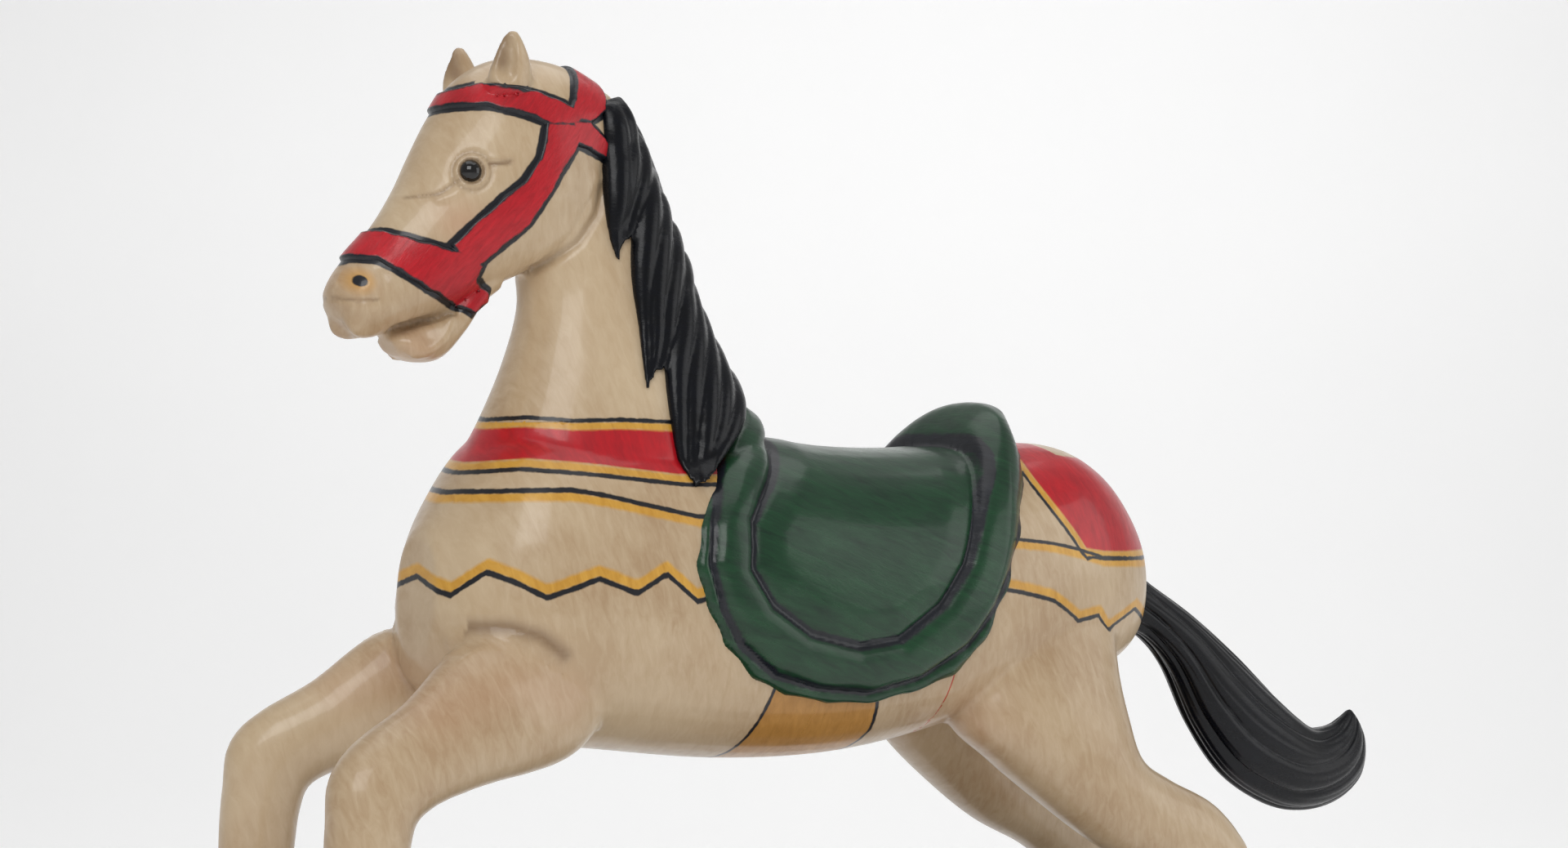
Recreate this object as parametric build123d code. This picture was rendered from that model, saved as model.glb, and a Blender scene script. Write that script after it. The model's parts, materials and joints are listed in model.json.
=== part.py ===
"""Coin-operated galloping horse ride, in millimetres.

A moulded horse, built as glass-fibre shells over a welded steel armature, stands by its four hooves on a
rocking frame. The frame turns on a cross shaft in two bearings on top of a steel cabinet. A geared motor in
the cabinet turns a crank, whose connecting rod rocks the frame. A coin pedestal stands at the nose end.

+Z is up, the horse looks along -X and its left side is at -Y. The origin is on the floor, at the centre
of the four floor anchor holes.
"""
from build123d import *
import os
from math import atan2, cos, hypot, pi, radians, sin

os.makedirs("parts", exist_ok=True)

# ---- cabinet ----
CABINET_LENGTH = 1150.0
CABINET_WIDTH = 480.0
CABINET_HEIGHT = 228.0  # floor to the underside of the deck plate
FRAME_TUBE = 40.0  # square tube of the cabinet's frame
TUBE_WALL = 3.0
SHEET = 2.0  # panels
DECK_THICKNESS = 4.0
MAT_THICKNESS = 4.0
MAT_RIB_PITCH = 24.0
MAT_RIB_WIDTH = 12.0
MAT_RIB_HEIGHT = 1.5
FOOT_BAR_THICKNESS = 8.0
FOOT_BAR_WIDTH = 60.0
ANCHOR_HOLE = 13.0
ANCHOR_SPACING_X = 900.0
ANCHOR_SPACING_Y = 300.0
FIT = 1.0  # gap left between neighbouring sheet parts

# ---- rocking frame ----
RAIL_TUBE = 40.0
RAIL_SPACING = 260.0  # centre to centre, which is the spacing of the hooves
RAIL_FRONT = -565.0
RAIL_REAR = 600.0
PIVOT_HEIGHT = 335.0
SHAFT_DIAMETER = 25.0
RUNNING_GAP = 0.05  # radial clearance of a turning shaft
BUSH_WALL = 4.0
BLOCK_WIDTH = 30.0
COLLAR_WIDTH = 12.0
PEDESTAL_PLATE = 6.0
HOOF_PLATE_THICKNESS = 6.0
HOOF_PLATE_LENGTH = 104.0
HOOF_PLATE_WIDTH = 84.0
ROCK_ANGLE = 6.0

# ---- drive ----
ROD_PIN_X = 360.0
ROD_PIN_DROP = 45.0  # rod pin below the pivot shaft
ROD_LENGTH = 160.0
ROD_THICKNESS = 12.0
ROD_EYE = 18.0
PIN_DIAMETER = 12.0
OPEN_PIVOT_GAP = 1.0  # the crank pin stops this far short of the rod
OUTPUT_SHAFT = 20.0
INPUT_SHAFT = 14.0
GEAR_CENTRES = 48.0
WHEEL_RADIUS = 35.5
WORM_RADIUS = 12.0
BELT_RATIO = 2.0
MOTOR_PULLEY_RADIUS = 20.0
PULLEY_WIDTH = 20.0
BELT_WIDTH = 10.0
MOTOR_RADIUS = 55.0
MOTOR_LENGTH = 170.0

# ---- coin pedestal ----
PEDESTAL_DEPTH = 150.0
PEDESTAL_WIDTH = 220.0
PEDESTAL_TOP = 440.0
PEDESTAL_FOOT = 20.0
PEDESTAL_SLOPE = 40.0  # the top falls this much towards the front
DOOR_WIDTH = 170.0
DOOR_HEIGHT = 180.0
DOOR_FOOT = 62.0
FASCIA_WIDTH = 150.0
FASCIA_HEIGHT = 104.0
FASCIA_THICKNESS = 4.0
COIN_SLOT_WIDTH = 3.2
COIN_SLOT_HEIGHT = 28.0
BUTTON_DIAMETER = 18.0
START_BUTTON_DIAMETER = 32.0
BUTTON_GAP = 0.3

# ---- horse ----
HOOF_DEPTH = 655.0  # horse datum (half-way up the withers) down to the soles
SHELL = 5.0
ARMATURE_ROD = 16.0
SPINE_TUBE = 34.0
ROD_CLEARANCE = 0.5
SADDLE_THICKNESS = 12.0
STRAP_THICKNESS = 4.5
BOND = 0.3  # resin line between moulded pieces

# ---- places that follow from the sizes ----
HALF_LENGTH = CABINET_LENGTH / 2
HALF_WIDTH = CABINET_WIDTH / 2
FRAME_HALF_LENGTH = HALF_LENGTH - SHEET
FRAME_HALF_WIDTH = HALF_WIDTH - SHEET
DECK_TOP = CABINET_HEIGHT + DECK_THICKNESS
TRAY_FLOOR = FOOT_BAR_THICKNESS + FRAME_TUBE
TRAY_TOP = TRAY_FLOOR + 3.0
RAIL_Y = RAIL_SPACING / 2
RAIL_TOP = PIVOT_HEIGHT + RAIL_TUBE / 2
RAIL_BOTTOM = PIVOT_HEIGHT - RAIL_TUBE / 2
SOLE = RAIL_TOP + HOOF_PLATE_THICKNESS
DATUM = SOLE + HOOF_DEPTH
BLOCK_Y = RAIL_Y + RAIL_TUBE / 2 + COLLAR_WIDTH + 8.0 + BLOCK_WIDTH / 2
SHAFT_HALF = BLOCK_Y + BLOCK_WIDTH / 2 + 5.0
BLOCK_FOOT = PIVOT_HEIGHT - 40.0
ROD_PIN_Z = PIVOT_HEIGHT - ROD_PIN_DROP
CRANK_Z = ROD_PIN_Z - ROD_LENGTH
CRANK_THROW = ROD_PIN_X * sin(radians(ROCK_ANGLE))
CRANK_X = ROD_PIN_X - CRANK_THROW
ARM_THICKNESS = 12.0
ARM_Y = -ROD_THICKNESS / 2 - 6.0  # crank arm's face nearest the rod
GEARBOX_Y = ARM_Y - ARM_THICKNESS - 6.0  # gearbox's face nearest the crank
GEARBOX_WIDTH = 90.0
GEARBOX_HALF = 60.0
GEARBOX_TOP = CRANK_Z + 72.0
GEARBOX_WALL = 6.0
INPUT_Y = GEARBOX_Y - GEARBOX_WIDTH / 2
INPUT_Z = CRANK_Z + GEAR_CENTRES
INPUT_PULLEY_RADIUS = MOTOR_PULLEY_RADIUS * BELT_RATIO
PULLEY_X = CRANK_X - GEARBOX_HALF - 27.0  # middle of both pulleys
MOTOR_Y = 95.0
MOTOR_Z = TRAY_TOP + 9.0 + MOTOR_RADIUS
MOTOR_FRONT = PULLEY_X - PULLEY_WIDTH / 2 - 25.0
PED_BACK = -HALF_LENGTH
PED_FRONT = PED_BACK - PEDESTAL_DEPTH
PED_HALF = PEDESTAL_WIDTH / 2


# ---------------------------------------------------------------- helpers
def block(x0, x1, y0, y1, z0, z1):
    """A plain block between two corners."""
    return Pos((x0 + x1) / 2, (y0 + y1) / 2, (z0 + z1) / 2) * Box(x1 - x0, y1 - y0, z1 - z0)


def round_x(x0, x1, y, z, radius):
    """A round bar along X."""
    return Pos((x0 + x1) / 2, y, z) * Rot(0, 90, 0) * Cylinder(radius, x1 - x0)


def round_y(x, y0, y1, z, radius):
    """A round bar along Y."""
    return Pos(x, (y0 + y1) / 2, z) * Rot(90, 0, 0) * Cylinder(radius, y1 - y0)


def round_z(x, y, z0, z1, radius):
    """A round bar along Z."""
    return Pos(x, y, (z0 + z1) / 2) * Cylinder(radius, z1 - z0)


def tube_x(x0, x1, y, z, size, wall=TUBE_WALL):
    """A square tube along X."""
    h, i = size / 2, size / 2 - wall
    return block(x0, x1, y - h, y + h, z - h, z + h) - block(x0 - 1, x1 + 1, y - i, y + i, z - i, z + i)


def tube_y(x, y0, y1, z, size, wall=TUBE_WALL):
    """A square tube along Y."""
    h, i = size / 2, size / 2 - wall
    return block(x - h, x + h, y0, y1, z - h, z + h) - block(x - i, x + i, y0 - 1, y1 + 1, z - i, z + i)


def tube_z(x, y, z0, z1, size, wall=TUBE_WALL):
    """A square tube along Z."""
    h, i = size / 2, size / 2 - wall
    return block(x - h, x + h, y - h, y + h, z0, z1) - block(x - i, x + i, y - i, y + i, z0 - 1, z1 + 1)


def hexagon(x, y, z0, z1, across):
    """A nut or bolt head with its axis along Z."""
    return extrude(Pos(x, y, z0) * RegularPolygon(across / 2, 6, major_radius=False), z1 - z0)


def mirrored(shape):
    """The same piece on the other side of the horse."""
    return mirror(shape, about=Plane.XZ)


def save(name, *pieces):
    """Writes one node; several pieces make a group of separate solids."""
    solids = [s for piece in pieces for s in piece.solids()]
    export_step(solids[0] if len(solids) == 1 else Compound(children=solids), f"parts/{name}.step")


# ---------------------------------------------------------------- ribs of the horse
RIB_POINTS = 12


def rib(front, back, half_width, y=0.0, grow=0.0, power=2.2):
    """A closed rib between two outline points (x, z above the datum), as a rounded oval ring."""
    (fx, fz), (bx, bz) = front, back
    length = hypot(bx - fx, bz - fz)
    ux, uz = (bx - fx) / length, (bz - fz) / length
    cx, cz, half = (fx + bx) / 2, (fz + bz) / 2, length / 2 + grow
    ring = []
    for i in range(RIB_POINTS):
        turn = 2 * pi * (i + 0.5) / RIB_POINTS  # half a step on, so that no seam lies on the middle plane
        c, s = cos(turn), sin(turn)
        along = half * abs(c) ** (2 / power) * (1 if c >= 0 else -1)
        across = (half_width + grow) * abs(s) ** (2 / power) * (1 if s >= 0 else -1)
        ring.append((cx + ux * along, y + across, DATUM + cz + uz * along))
    return Wire([Edge.make_spline([Vector(*p) for p in ring], periodic=True)])


def skin(ribs, grow=0.0, power=2.2):
    """A smooth solid through ribs, each (front, back, half width[, y])."""
    wires = [rib(r[0], r[1], r[2], r[3] if len(r) > 3 else 0.0, grow, power) for r in ribs]
    return Solid.make_loft(wires, False)


TORSO = [
    ((-404, -205), (-400, -70), 46),
    ((-385, -235), (-372, -30), 84),
    ((-330, -275), (-325, -5), 112),
    ((-220, -298), (-220, 2), 126),
    ((-100, -316), (-100, -12), 130),
    ((20, -324), (20, -30), 130),
    ((130, -318), (130, -34), 128),
    ((230, -300), (230, -26), 124),
    ((310, -285), (320, -20), 120),
    ((375, -270), (385, -52), 100),
    ((425, -245), (430, -110), 66),
    ((441, -215), (443, -150), 34),
]
NECK = [
    ((-392, -118), (-40, -30), 98),
    ((-372, -52), (-75, 32), 88),
    ((-333, 3), (-104, 88), 74),
    ((-302, 52), (-128, 145), 62),
    ((-288, 102), (-152, 210), 56),
    ((-292, 145), (-180, 262), 52),
]
HEAD = [
    ((-232, 318), (-205, 235), 40),
    ((-290, 318), (-232, 178), 60),
    ((-372, 276), (-280, 145), 66),
    ((-405, 216), (-330, 122), 55),
    ((-440, 163), (-372, 88), 44),
    ((-471, 122), (-410, 58), 41),
    ((-474, 106), (-436, 64), 30),
]
EAR = [
    ((-346, 296), (-300, 296), 15, -46),
    ((-343, 318), (-306, 316), 12, -49),
    ((-331, 340), (-316, 340), 6, -51),
]
FORELEG = [
    ((-318, -172), (-225, -246), 34, -58),
    ((-391, -190), (-290, -290), 44, -80),
    ((-445, -230), (-385, -305), 37, -96),
    ((-506, -268), (-437, -318), 34, -108),
    ((-524, -330), (-455, -342), 31, -114),
    ((-526, -430), (-464, -432), 27, -119),
    ((-527, -530), (-472, -532), 24, -124),
    ((-534, -574), (-470, -579), 27, -127),
    ((-541, -604), (-472, -608), 30, -129),
]
HINDLEG = [
    ((165, -220), (375, -165), 52, -52),
    ((160, -295), (364, -245), 60, -68),
    ((200, -338), (366, -300), 56, -82),
    ((262, -388), (378, -345), 47, -93),
    ((330, -436), (418, -372), 40, -100),
    ((405, -474), (478, -404), 35, -107),
    ((450, -510), (518, -455), 31, -112),
    ((460, -550), (520, -530), 27, -118),
    ((456, -582), (520, -576), 27, -124),
    ((450, -606), (524, -604), 30, -129),
]
FORE_HOOF = [((-542, -605), (-471, -609), 32, -130), ((-558, -HOOF_DEPTH), (-466, -HOOF_DEPTH), 41, -130)]
HIND_HOOF = [((449, -607), (525, -605), 32, -130), ((438, -HOOF_DEPTH), (532, -HOOF_DEPTH), 41, -130)]
TAIL = [
    ((424, -145), (424, -222), 32),
    ((470, -163), (458, -226), 31),
    ((545, -206), (508, -254), 33),
    ((613, -252), (551, -325), 37),
    ((681, -303), (603, -392), 42),
    ((736, -345), (676, -437), 42),
    ((772, -358), (748, -452), 36),
    ((802, -351), (812, -440), 27),
    ((818, -345), (846, -398), 15),
]
MANE = [
    ((-247, 292), (-203, 310), 20, -14),
    ((-243, 235), (-168, 270), 44, -26),
    ((-232, 160), (-133, 192), 50, -34),
    ((-212, 95), (-100, 112), 56, -38),
    ((-195, 25), (-72, 50), 62, -42),
    ((-166, -48), (-98, -20), 60, -54),
]
SADDLE_OUTLINE = [
    (-150, 60), (-164, -52), (-179, -98), (-172, -150), (-150, -192), (-108, -230), (-46, -256),
    (28, -260), (98, -245), (149, -208), (190, -145), (206, -65), (262, -8), (262, 60),
]
END_GAP = 0.4  # share of the span at each end of the barrel that stays solid


def between(a, b, share):
    """A rib part of the way from rib a to rib b."""
    def mix(p, q):
        return tuple(m + (n - m) * share for m, n in zip(p, q))
    return mix(a[0], b[0]), mix(a[1], b[1]), a[2] + (b[2] - a[2]) * share


def hollow(ribs):
    """The space inside a moulding: its ribs drawn in by the wall, ending short of both closed ends."""
    ends = between(ribs[0], ribs[1], END_GAP), between(ribs[-1], ribs[-2], END_GAP)
    return skin([ends[0], *ribs[1:-1], ends[1]], -SHELL)


FORE_HOOF_X = -512.0
HIND_HOOF_X = 485.0
HOOF_Y = -RAIL_Y

torso_solid = skin(TORSO)
torso_core = hollow(TORSO)
neck_solid = skin(NECK)
head_solid = skin(HEAD)
neck_core = skin(NECK, -SHELL)
head_core = skin(HEAD, -SHELL)
torso_room = skin(TORSO, BOND)
neck_room = skin(NECK, BOND)
head_room = skin(HEAD, BOND)
mane_room = skin(MANE, BOND)


# ---------------------------------------------------------------- armature
def leg_rod(points):
    """A bent steel rod through a leg, from the armature down to below the rail."""
    path = FilletPolyline(*[(x, y, DATUM + z) for x, y, z in points], radius=26)
    start = Plane(origin=path @ 0, z_dir=path % 0)
    return lambda radius: sweep(start * Circle(radius), path=path)


ROD_END = -(HOOF_DEPTH + HOOF_PLATE_THICKNESS + RAIL_TUBE + 16.0)
FORE_ROD = leg_rod([
    (-285, -48, -160), (-350, -84, -246), (-484, -110, -306), (-498, -122, -540),
    (FORE_HOOF_X, HOOF_Y, -602), (FORE_HOOF_X, HOOF_Y, ROD_END),
])
HIND_ROD = leg_rod([
    (255, -48, -160), (265, -72, -270), (335, -94, -376), (482, -112, -472), (488, -124, -556),
    (HIND_HOOF_X, HOOF_Y, -604), (HIND_HOOF_X, HOOF_Y, ROD_END),
])


def all_rods(radius):
    left = [FORE_ROD(radius), HIND_ROD(radius)]
    return left + [mirrored(r) for r in left]


def make_armature():
    """Spine tube, two cross tubes and four leg rods, welded into one piece."""
    z, r = DATUM - 160, SPINE_TUBE / 2
    frame = round_x(-285, 255, 0, z, r)
    frame += round_y(-285, -52, 52, z, r)
    frame += round_y(255, -52, 52, z, r)
    for rod in all_rods(ARMATURE_ROD / 2):
        frame += rod
    return frame


# ---------------------------------------------------------------- horse
def left_half(shape):
    return shape & block(-1200, 1200, -600, 0, 0, 2500)


def right_half(shape):
    return shape & block(-1200, 1200, 0, 600, 0, 2500)


def make_torso():
    shell = torso_solid - torso_core
    for rod in all_rods(ARMATURE_ROD / 2 + ROD_CLEARANCE):
        shell -= rod
    return shell


def make_neck_head():
    return (neck_solid + head_solid) - neck_core - head_core - torso_room


def make_leg(ribs, rod):
    return skin(ribs) - torso_room - rod(ARMATURE_ROD / 2 + ROD_CLEARANCE)


def make_hoof(ribs, rod):
    hoof = Solid.make_loft([rib(r[0], r[1], r[2], r[3]) for r in ribs], True)
    return hoof - rod(ARMATURE_ROD / 2 + ROD_CLEARANCE)


def make_tail():
    return skin(TAIL) - torso_room


def make_mane():
    return skin(MANE) - neck_room - head_room - torso_room


def make_ear():
    return skin(EAR) - head_room


def make_saddle():
    """A thick moulded cover over the barrel with a raised cantle, cut to a rounded flap outline."""
    blank = skin(TORSO, SADDLE_THICKNESS)
    cantle = Pos(225, 0, DATUM - 28) * scale(Sphere(1), (38, 112, 52))
    outline = Wire([
        Edge.make_spline([Vector(x, 0, DATUM + z) for x, z in SADDLE_OUTLINE]),
        Edge.make_line(
            Vector(SADDLE_OUTLINE[-1][0], 0, DATUM + SADDLE_OUTLINE[-1][1]),
            Vector(SADDLE_OUTLINE[0][0], 0, DATUM + SADDLE_OUTLINE[0][1])),
    ])
    prism = extrude(Face(outline), 300, both=True)
    return ((blank + cantle) & prism) - torso_room - neck_room - mane_room


def slab(a, b, half, y0, y1):
    """A straight band from a to b, half wide each side, for cutting a strap out of a grown head."""
    (ax, az), (bx, bz) = a, b
    length = hypot(bx - ax, bz - az)
    turn = -atan2(bz - az, bx - ax) * 180 / pi
    band = Rot(0, turn, 0) * Box(length, y1 - y0, 2 * half)
    return Pos((ax + bx) / 2, (y0 + y1) / 2, DATUM + (az + bz) / 2) * band


def make_bridle():
    """Moulded straps standing proud of the head: brow, cheek, crown, throat and nose bands."""
    grown = skin(HEAD, STRAP_THICKNESS)
    straps = slab((-410, 285), (-255, 258), 14, -90, 90)
    straps += slab((-275, 272), (-350, 122), 14, -90, 90)
    straps += slab((-282, 250), (-225, 306), 13, -90, 90)
    straps += slab((-470, 165), (-345, 96), 17, -90, 90)
    return (grown & straps) - head_room - neck_room - mane_room


# ---------------------------------------------------------------- cabinet
PEDESTAL_BOLT_PLACES = [
    (y, z) for y in (-70, 70) for z in (FOOT_BAR_THICKNESS + FRAME_TUBE / 2, CABINET_HEIGHT - FRAME_TUBE / 2)]


def pedestal_shank(y, z):
    """One bolt's shank through the pedestal's back, the front panel and the tube's wall."""
    return round_x(PED_BACK - SHEET, -FRAME_HALF_LENGTH + TUBE_WALL + 6, y, z, 4)


def make_base_frame():
    """Square-tube box frame: butt-welded tubes, kept as separate solids, on two drilled foot bars."""
    t, h = FRAME_TUBE, FRAME_TUBE / 2
    y = FRAME_HALF_WIDTH - h
    x = FRAME_HALF_LENGTH - h
    low, high = FOOT_BAR_THICKNESS + h, CABINET_HEIGHT - h
    pieces = []
    for z in (low, high):
        pieces += [tube_x(-FRAME_HALF_LENGTH, FRAME_HALF_LENGTH, s * y, z, t) for s in (-1, 1)]
        front = tube_y(-x, -y + h, y - h, z, t)
        for bolt_y, bolt_z in PEDESTAL_BOLT_PLACES:
            front -= pedestal_shank(bolt_y, bolt_z)
        pieces += [front, tube_y(x, -y + h, y - h, z, t)]
    for sx in (-1, 1):
        pieces += [tube_z(sx * x, sy * y, low + h, high - h, t) for sy in (-1, 1)]
    # cross tubes under the bearing pedestals
    pieces.append(tube_y(0, -y + h, y - h, high, t))
    return pieces


def make_foot_bars():
    """Two flat bars across the underside, each with two anchor holes."""
    bars = []
    for s in (-1, 1):
        x = s * ANCHOR_SPACING_X / 2
        bar = block(x - FOOT_BAR_WIDTH / 2, x + FOOT_BAR_WIDTH / 2, -FRAME_HALF_WIDTH, FRAME_HALF_WIDTH,
                    0, FOOT_BAR_THICKNESS)
        for sy in (-1, 1):
            bar -= round_z(x, sy * ANCHOR_SPACING_Y / 2, -1, FOOT_BAR_THICKNESS + 1, ANCHOR_HOLE / 2)
        bars.append(bar)
    return bars


TRAY_HALF_LENGTH = ANCHOR_SPACING_X / 2 - FOOT_BAR_WIDTH / 2 - 10.0


def make_drive_tray():
    """Sheet that carries the motor and gearbox, resting on the two long bottom tubes."""
    return block(-TRAY_HALF_LENGTH, TRAY_HALF_LENGTH, -FRAME_HALF_WIDTH + 6, FRAME_HALF_WIDTH - 6,
                 TRAY_FLOOR, TRAY_TOP)


PANEL_BOTTOM = FOOT_BAR_THICKNESS + 4.0


def make_side_panel():
    panel = block(-HALF_LENGTH, HALF_LENGTH, -HALF_WIDTH, -FRAME_HALF_WIDTH, PANEL_BOTTOM, CABINET_HEIGHT)
    # ventilation louvre slots beside the motor
    for i in range(6):
        x = 60 + 24 * i
        panel -= block(x - 3, x + 3, -HALF_WIDTH - 1, -FRAME_HALF_WIDTH + 1, 80, 150)
    return panel


def make_front_panel():
    panel = block(-HALF_LENGTH, -FRAME_HALF_LENGTH, -FRAME_HALF_WIDTH, FRAME_HALF_WIDTH,
                  PANEL_BOTTOM, CABINET_HEIGHT)
    for y, z in PEDESTAL_BOLT_PLACES:
        panel -= pedestal_shank(y, z)
    return panel


SERVICE_HALF = 150.0
SERVICE_LOW = 62.0
SERVICE_HIGH = 176.0
SERVICE_LAP = 12.0
INLET_Y = 195.0
INLET_Z = 110.0
INLET_RADIUS = 11.0


def make_rear_panel():
    panel = block(FRAME_HALF_LENGTH, HALF_LENGTH, -FRAME_HALF_WIDTH, FRAME_HALF_WIDTH,
                  PANEL_BOTTOM, CABINET_HEIGHT)
    return panel - block(FRAME_HALF_LENGTH - 1, HALF_LENGTH + 1, -SERVICE_HALF, SERVICE_HALF,
                         SERVICE_LOW, SERVICE_HIGH)


SLOT_HALF_X = 64.0
SLOT_HALF_Y = 22.0
PEDESTAL_HALF_X = 60.0
PEDESTAL_HALF_Y = 26.0


def make_deck():
    deck = block(-HALF_LENGTH, HALF_LENGTH, -HALF_WIDTH, HALF_WIDTH, CABINET_HEIGHT, DECK_TOP)
    deck -= block(ROD_PIN_X - SLOT_HALF_X, ROD_PIN_X + SLOT_HALF_X, -SLOT_HALF_Y, SLOT_HALF_Y,
                  CABINET_HEIGHT - 1, DECK_TOP + 1)
    return deck


TRIM = 18.0
TRIM_WALL = 2.0


def make_mat():
    """Ribbed rubber mat inside the deck trim, cut out around the rod slot and the bearing pedestals."""
    x, y = HALF_LENGTH - TRIM, HALF_WIDTH - TRIM
    top = DECK_TOP + MAT_THICKNESS
    mat = block(-x, x, -y, y, DECK_TOP, top - MAT_RIB_HEIGHT)
    count = int((2 * y - MAT_RIB_WIDTH) // MAT_RIB_PITCH)
    for i in range(count + 1):
        c = (i - count / 2) * MAT_RIB_PITCH
        mat += block(-x, x, c - MAT_RIB_WIDTH / 2, c + MAT_RIB_WIDTH / 2, top - MAT_RIB_HEIGHT, top)
    mat -= block(ROD_PIN_X - SLOT_HALF_X - 6, ROD_PIN_X + SLOT_HALF_X + 6, -SLOT_HALF_Y - 6, SLOT_HALF_Y + 6,
                 DECK_TOP - 1, top + 1)
    for s in (-1, 1):
        mat -= block(-PEDESTAL_HALF_X - 2, PEDESTAL_HALF_X + 2, s * BLOCK_Y - PEDESTAL_HALF_Y - 2,
                     s * BLOCK_Y + PEDESTAL_HALF_Y + 2, DECK_TOP - 1, top + 1)
    return mat


def make_deck_trim():
    """Angle edging round the deck: a top flange over the mat's edge line and a skirt down the panels."""
    top = DECK_TOP + TRIM_WALL
    outer = block(-HALF_LENGTH - TRIM_WALL, HALF_LENGTH + TRIM_WALL, -HALF_WIDTH - TRIM_WALL,
                  HALF_WIDTH + TRIM_WALL, CABINET_HEIGHT - TRIM, top)
    hollow = block(-HALF_LENGTH, HALF_LENGTH, -HALF_WIDTH, HALF_WIDTH, CABINET_HEIGHT - TRIM - 1, DECK_TOP)
    window = block(-HALF_LENGTH + TRIM, HALF_LENGTH - TRIM, -HALF_WIDTH + TRIM, HALF_WIDTH - TRIM,
                   DECK_TOP - 1, top + 1)
    notch = block(-HALF_LENGTH - 10, -HALF_LENGTH, -PED_HALF - FIT, PED_HALF + FIT, 0, top + 1)
    trim = outer - hollow - window - notch
    halves = []
    for lo, hi in ((-HALF_LENGTH - 20, 0), (0, HALF_LENGTH + 20)):
        halves.append(trim & block(lo, hi, -HALF_WIDTH - 20, HALF_WIDTH + 20, 0, top + 10))
    return halves


# ---------------------------------------------------------------- rocking frame
CROSS_X = (-430.0, -200.0, ROD_PIN_X, 560.0)


def make_rocker_frame():
    """Two long rails, cross tubes, shaft sleeves and the clevis for the connecting rod, welded together."""
    inner = RAIL_Y - RAIL_TUBE / 2
    frame = tube_x(RAIL_FRONT, RAIL_REAR, -RAIL_Y, PIVOT_HEIGHT, RAIL_TUBE)
    frame += tube_x(RAIL_FRONT, RAIL_REAR, RAIL_Y, PIVOT_HEIGHT, RAIL_TUBE)
    for x in CROSS_X:
        frame += tube_y(x, -inner, inner, PIVOT_HEIGHT, RAIL_TUBE)
    for s in (-1, 1):
        frame += round_y(0, s * RAIL_Y - RAIL_TUBE / 2, s * RAIL_Y + RAIL_TUBE / 2, PIVOT_HEIGHT,
                         SHAFT_DIAMETER / 2 + 4)
    gap = ROD_THICKNESS / 2 + 1.0
    for y in (-gap - 6, gap):
        ear = block(ROD_PIN_X - ROD_EYE, ROD_PIN_X + ROD_EYE, y, y + 6, ROD_PIN_Z, RAIL_BOTTOM + 2)
        ear += round_y(ROD_PIN_X, y, y + 6, ROD_PIN_Z, ROD_EYE)
        frame += ear
    frame -= round_y(0, -2 * RAIL_Y, 2 * RAIL_Y, PIVOT_HEIGHT, SHAFT_DIAMETER / 2)
    frame -= round_y(ROD_PIN_X, -40, 40, ROD_PIN_Z, PIN_DIAMETER / 2)
    for x in (FORE_HOOF_X, HIND_HOOF_X):
        for s in (-1, 1):
            frame -= round_z(x, s * RAIL_Y, RAIL_BOTTOM - 1, RAIL_TOP + 1, ARMATURE_ROD / 2 + ROD_CLEARANCE)
    return frame


def make_hoof_plates():
    plates = []
    half_x, half_y = HOOF_PLATE_LENGTH / 2, HOOF_PLATE_WIDTH / 2
    for x in (FORE_HOOF_X, HIND_HOOF_X):
        for y in (-RAIL_Y, RAIL_Y):
            plate = block(x - half_x, x + half_x, y - half_y, y + half_y, RAIL_TOP, SOLE)
            plates.append(plate - round_z(x, y, RAIL_TOP - 1, SOLE + 1, ARMATURE_ROD / 2 + ROD_CLEARANCE))
    return plates


def make_rod_nuts():
    nuts = []
    for x in (FORE_HOOF_X, HIND_HOOF_X):
        for s in (-1, 1):
            nut = hexagon(x, s * RAIL_Y, RAIL_BOTTOM - 12, RAIL_BOTTOM, 24)
            nuts.append(nut - round_z(x, s * RAIL_Y, RAIL_BOTTOM - 13, RAIL_BOTTOM + 1, ARMATURE_ROD / 2))
    return nuts


def make_rail_caps():
    """Plastic plugs in the four open tube ends."""
    h, i, z = RAIL_TUBE / 2, RAIL_TUBE / 2 - TUBE_WALL, PIVOT_HEIGHT
    caps = []
    for y in (-RAIL_Y, RAIL_Y):
        front = block(RAIL_FRONT - 4, RAIL_FRONT, y - h, y + h, z - h, z + h)
        caps.append(front + block(RAIL_FRONT, RAIL_FRONT + 14, y - i, y + i, z - i, z + i))
        rear = block(RAIL_REAR, RAIL_REAR + 4, y - h, y + h, z - h, z + h)
        caps.append(rear + block(RAIL_REAR - 14, RAIL_REAR, y - i, y + i, z - i, z + i))
    return caps


def make_pivot_shaft():
    return round_y(0, -SHAFT_HALF, SHAFT_HALF, PIVOT_HEIGHT, SHAFT_DIAMETER / 2)


def make_collars():
    collars = []
    for s in (-1, 1):
        y = s * (RAIL_Y + RAIL_TUBE / 2 + 2 + COLLAR_WIDTH / 2)
        ring = round_y(0, y - COLLAR_WIDTH / 2, y + COLLAR_WIDTH / 2, PIVOT_HEIGHT, SHAFT_DIAMETER / 2 + 8)
        collars.append(ring - round_y(0, y - 20, y + 20, PIVOT_HEIGHT, SHAFT_DIAMETER / 2))
    return collars


BUSH_RADIUS = SHAFT_DIAMETER / 2 + RUNNING_GAP + BUSH_WALL


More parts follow.
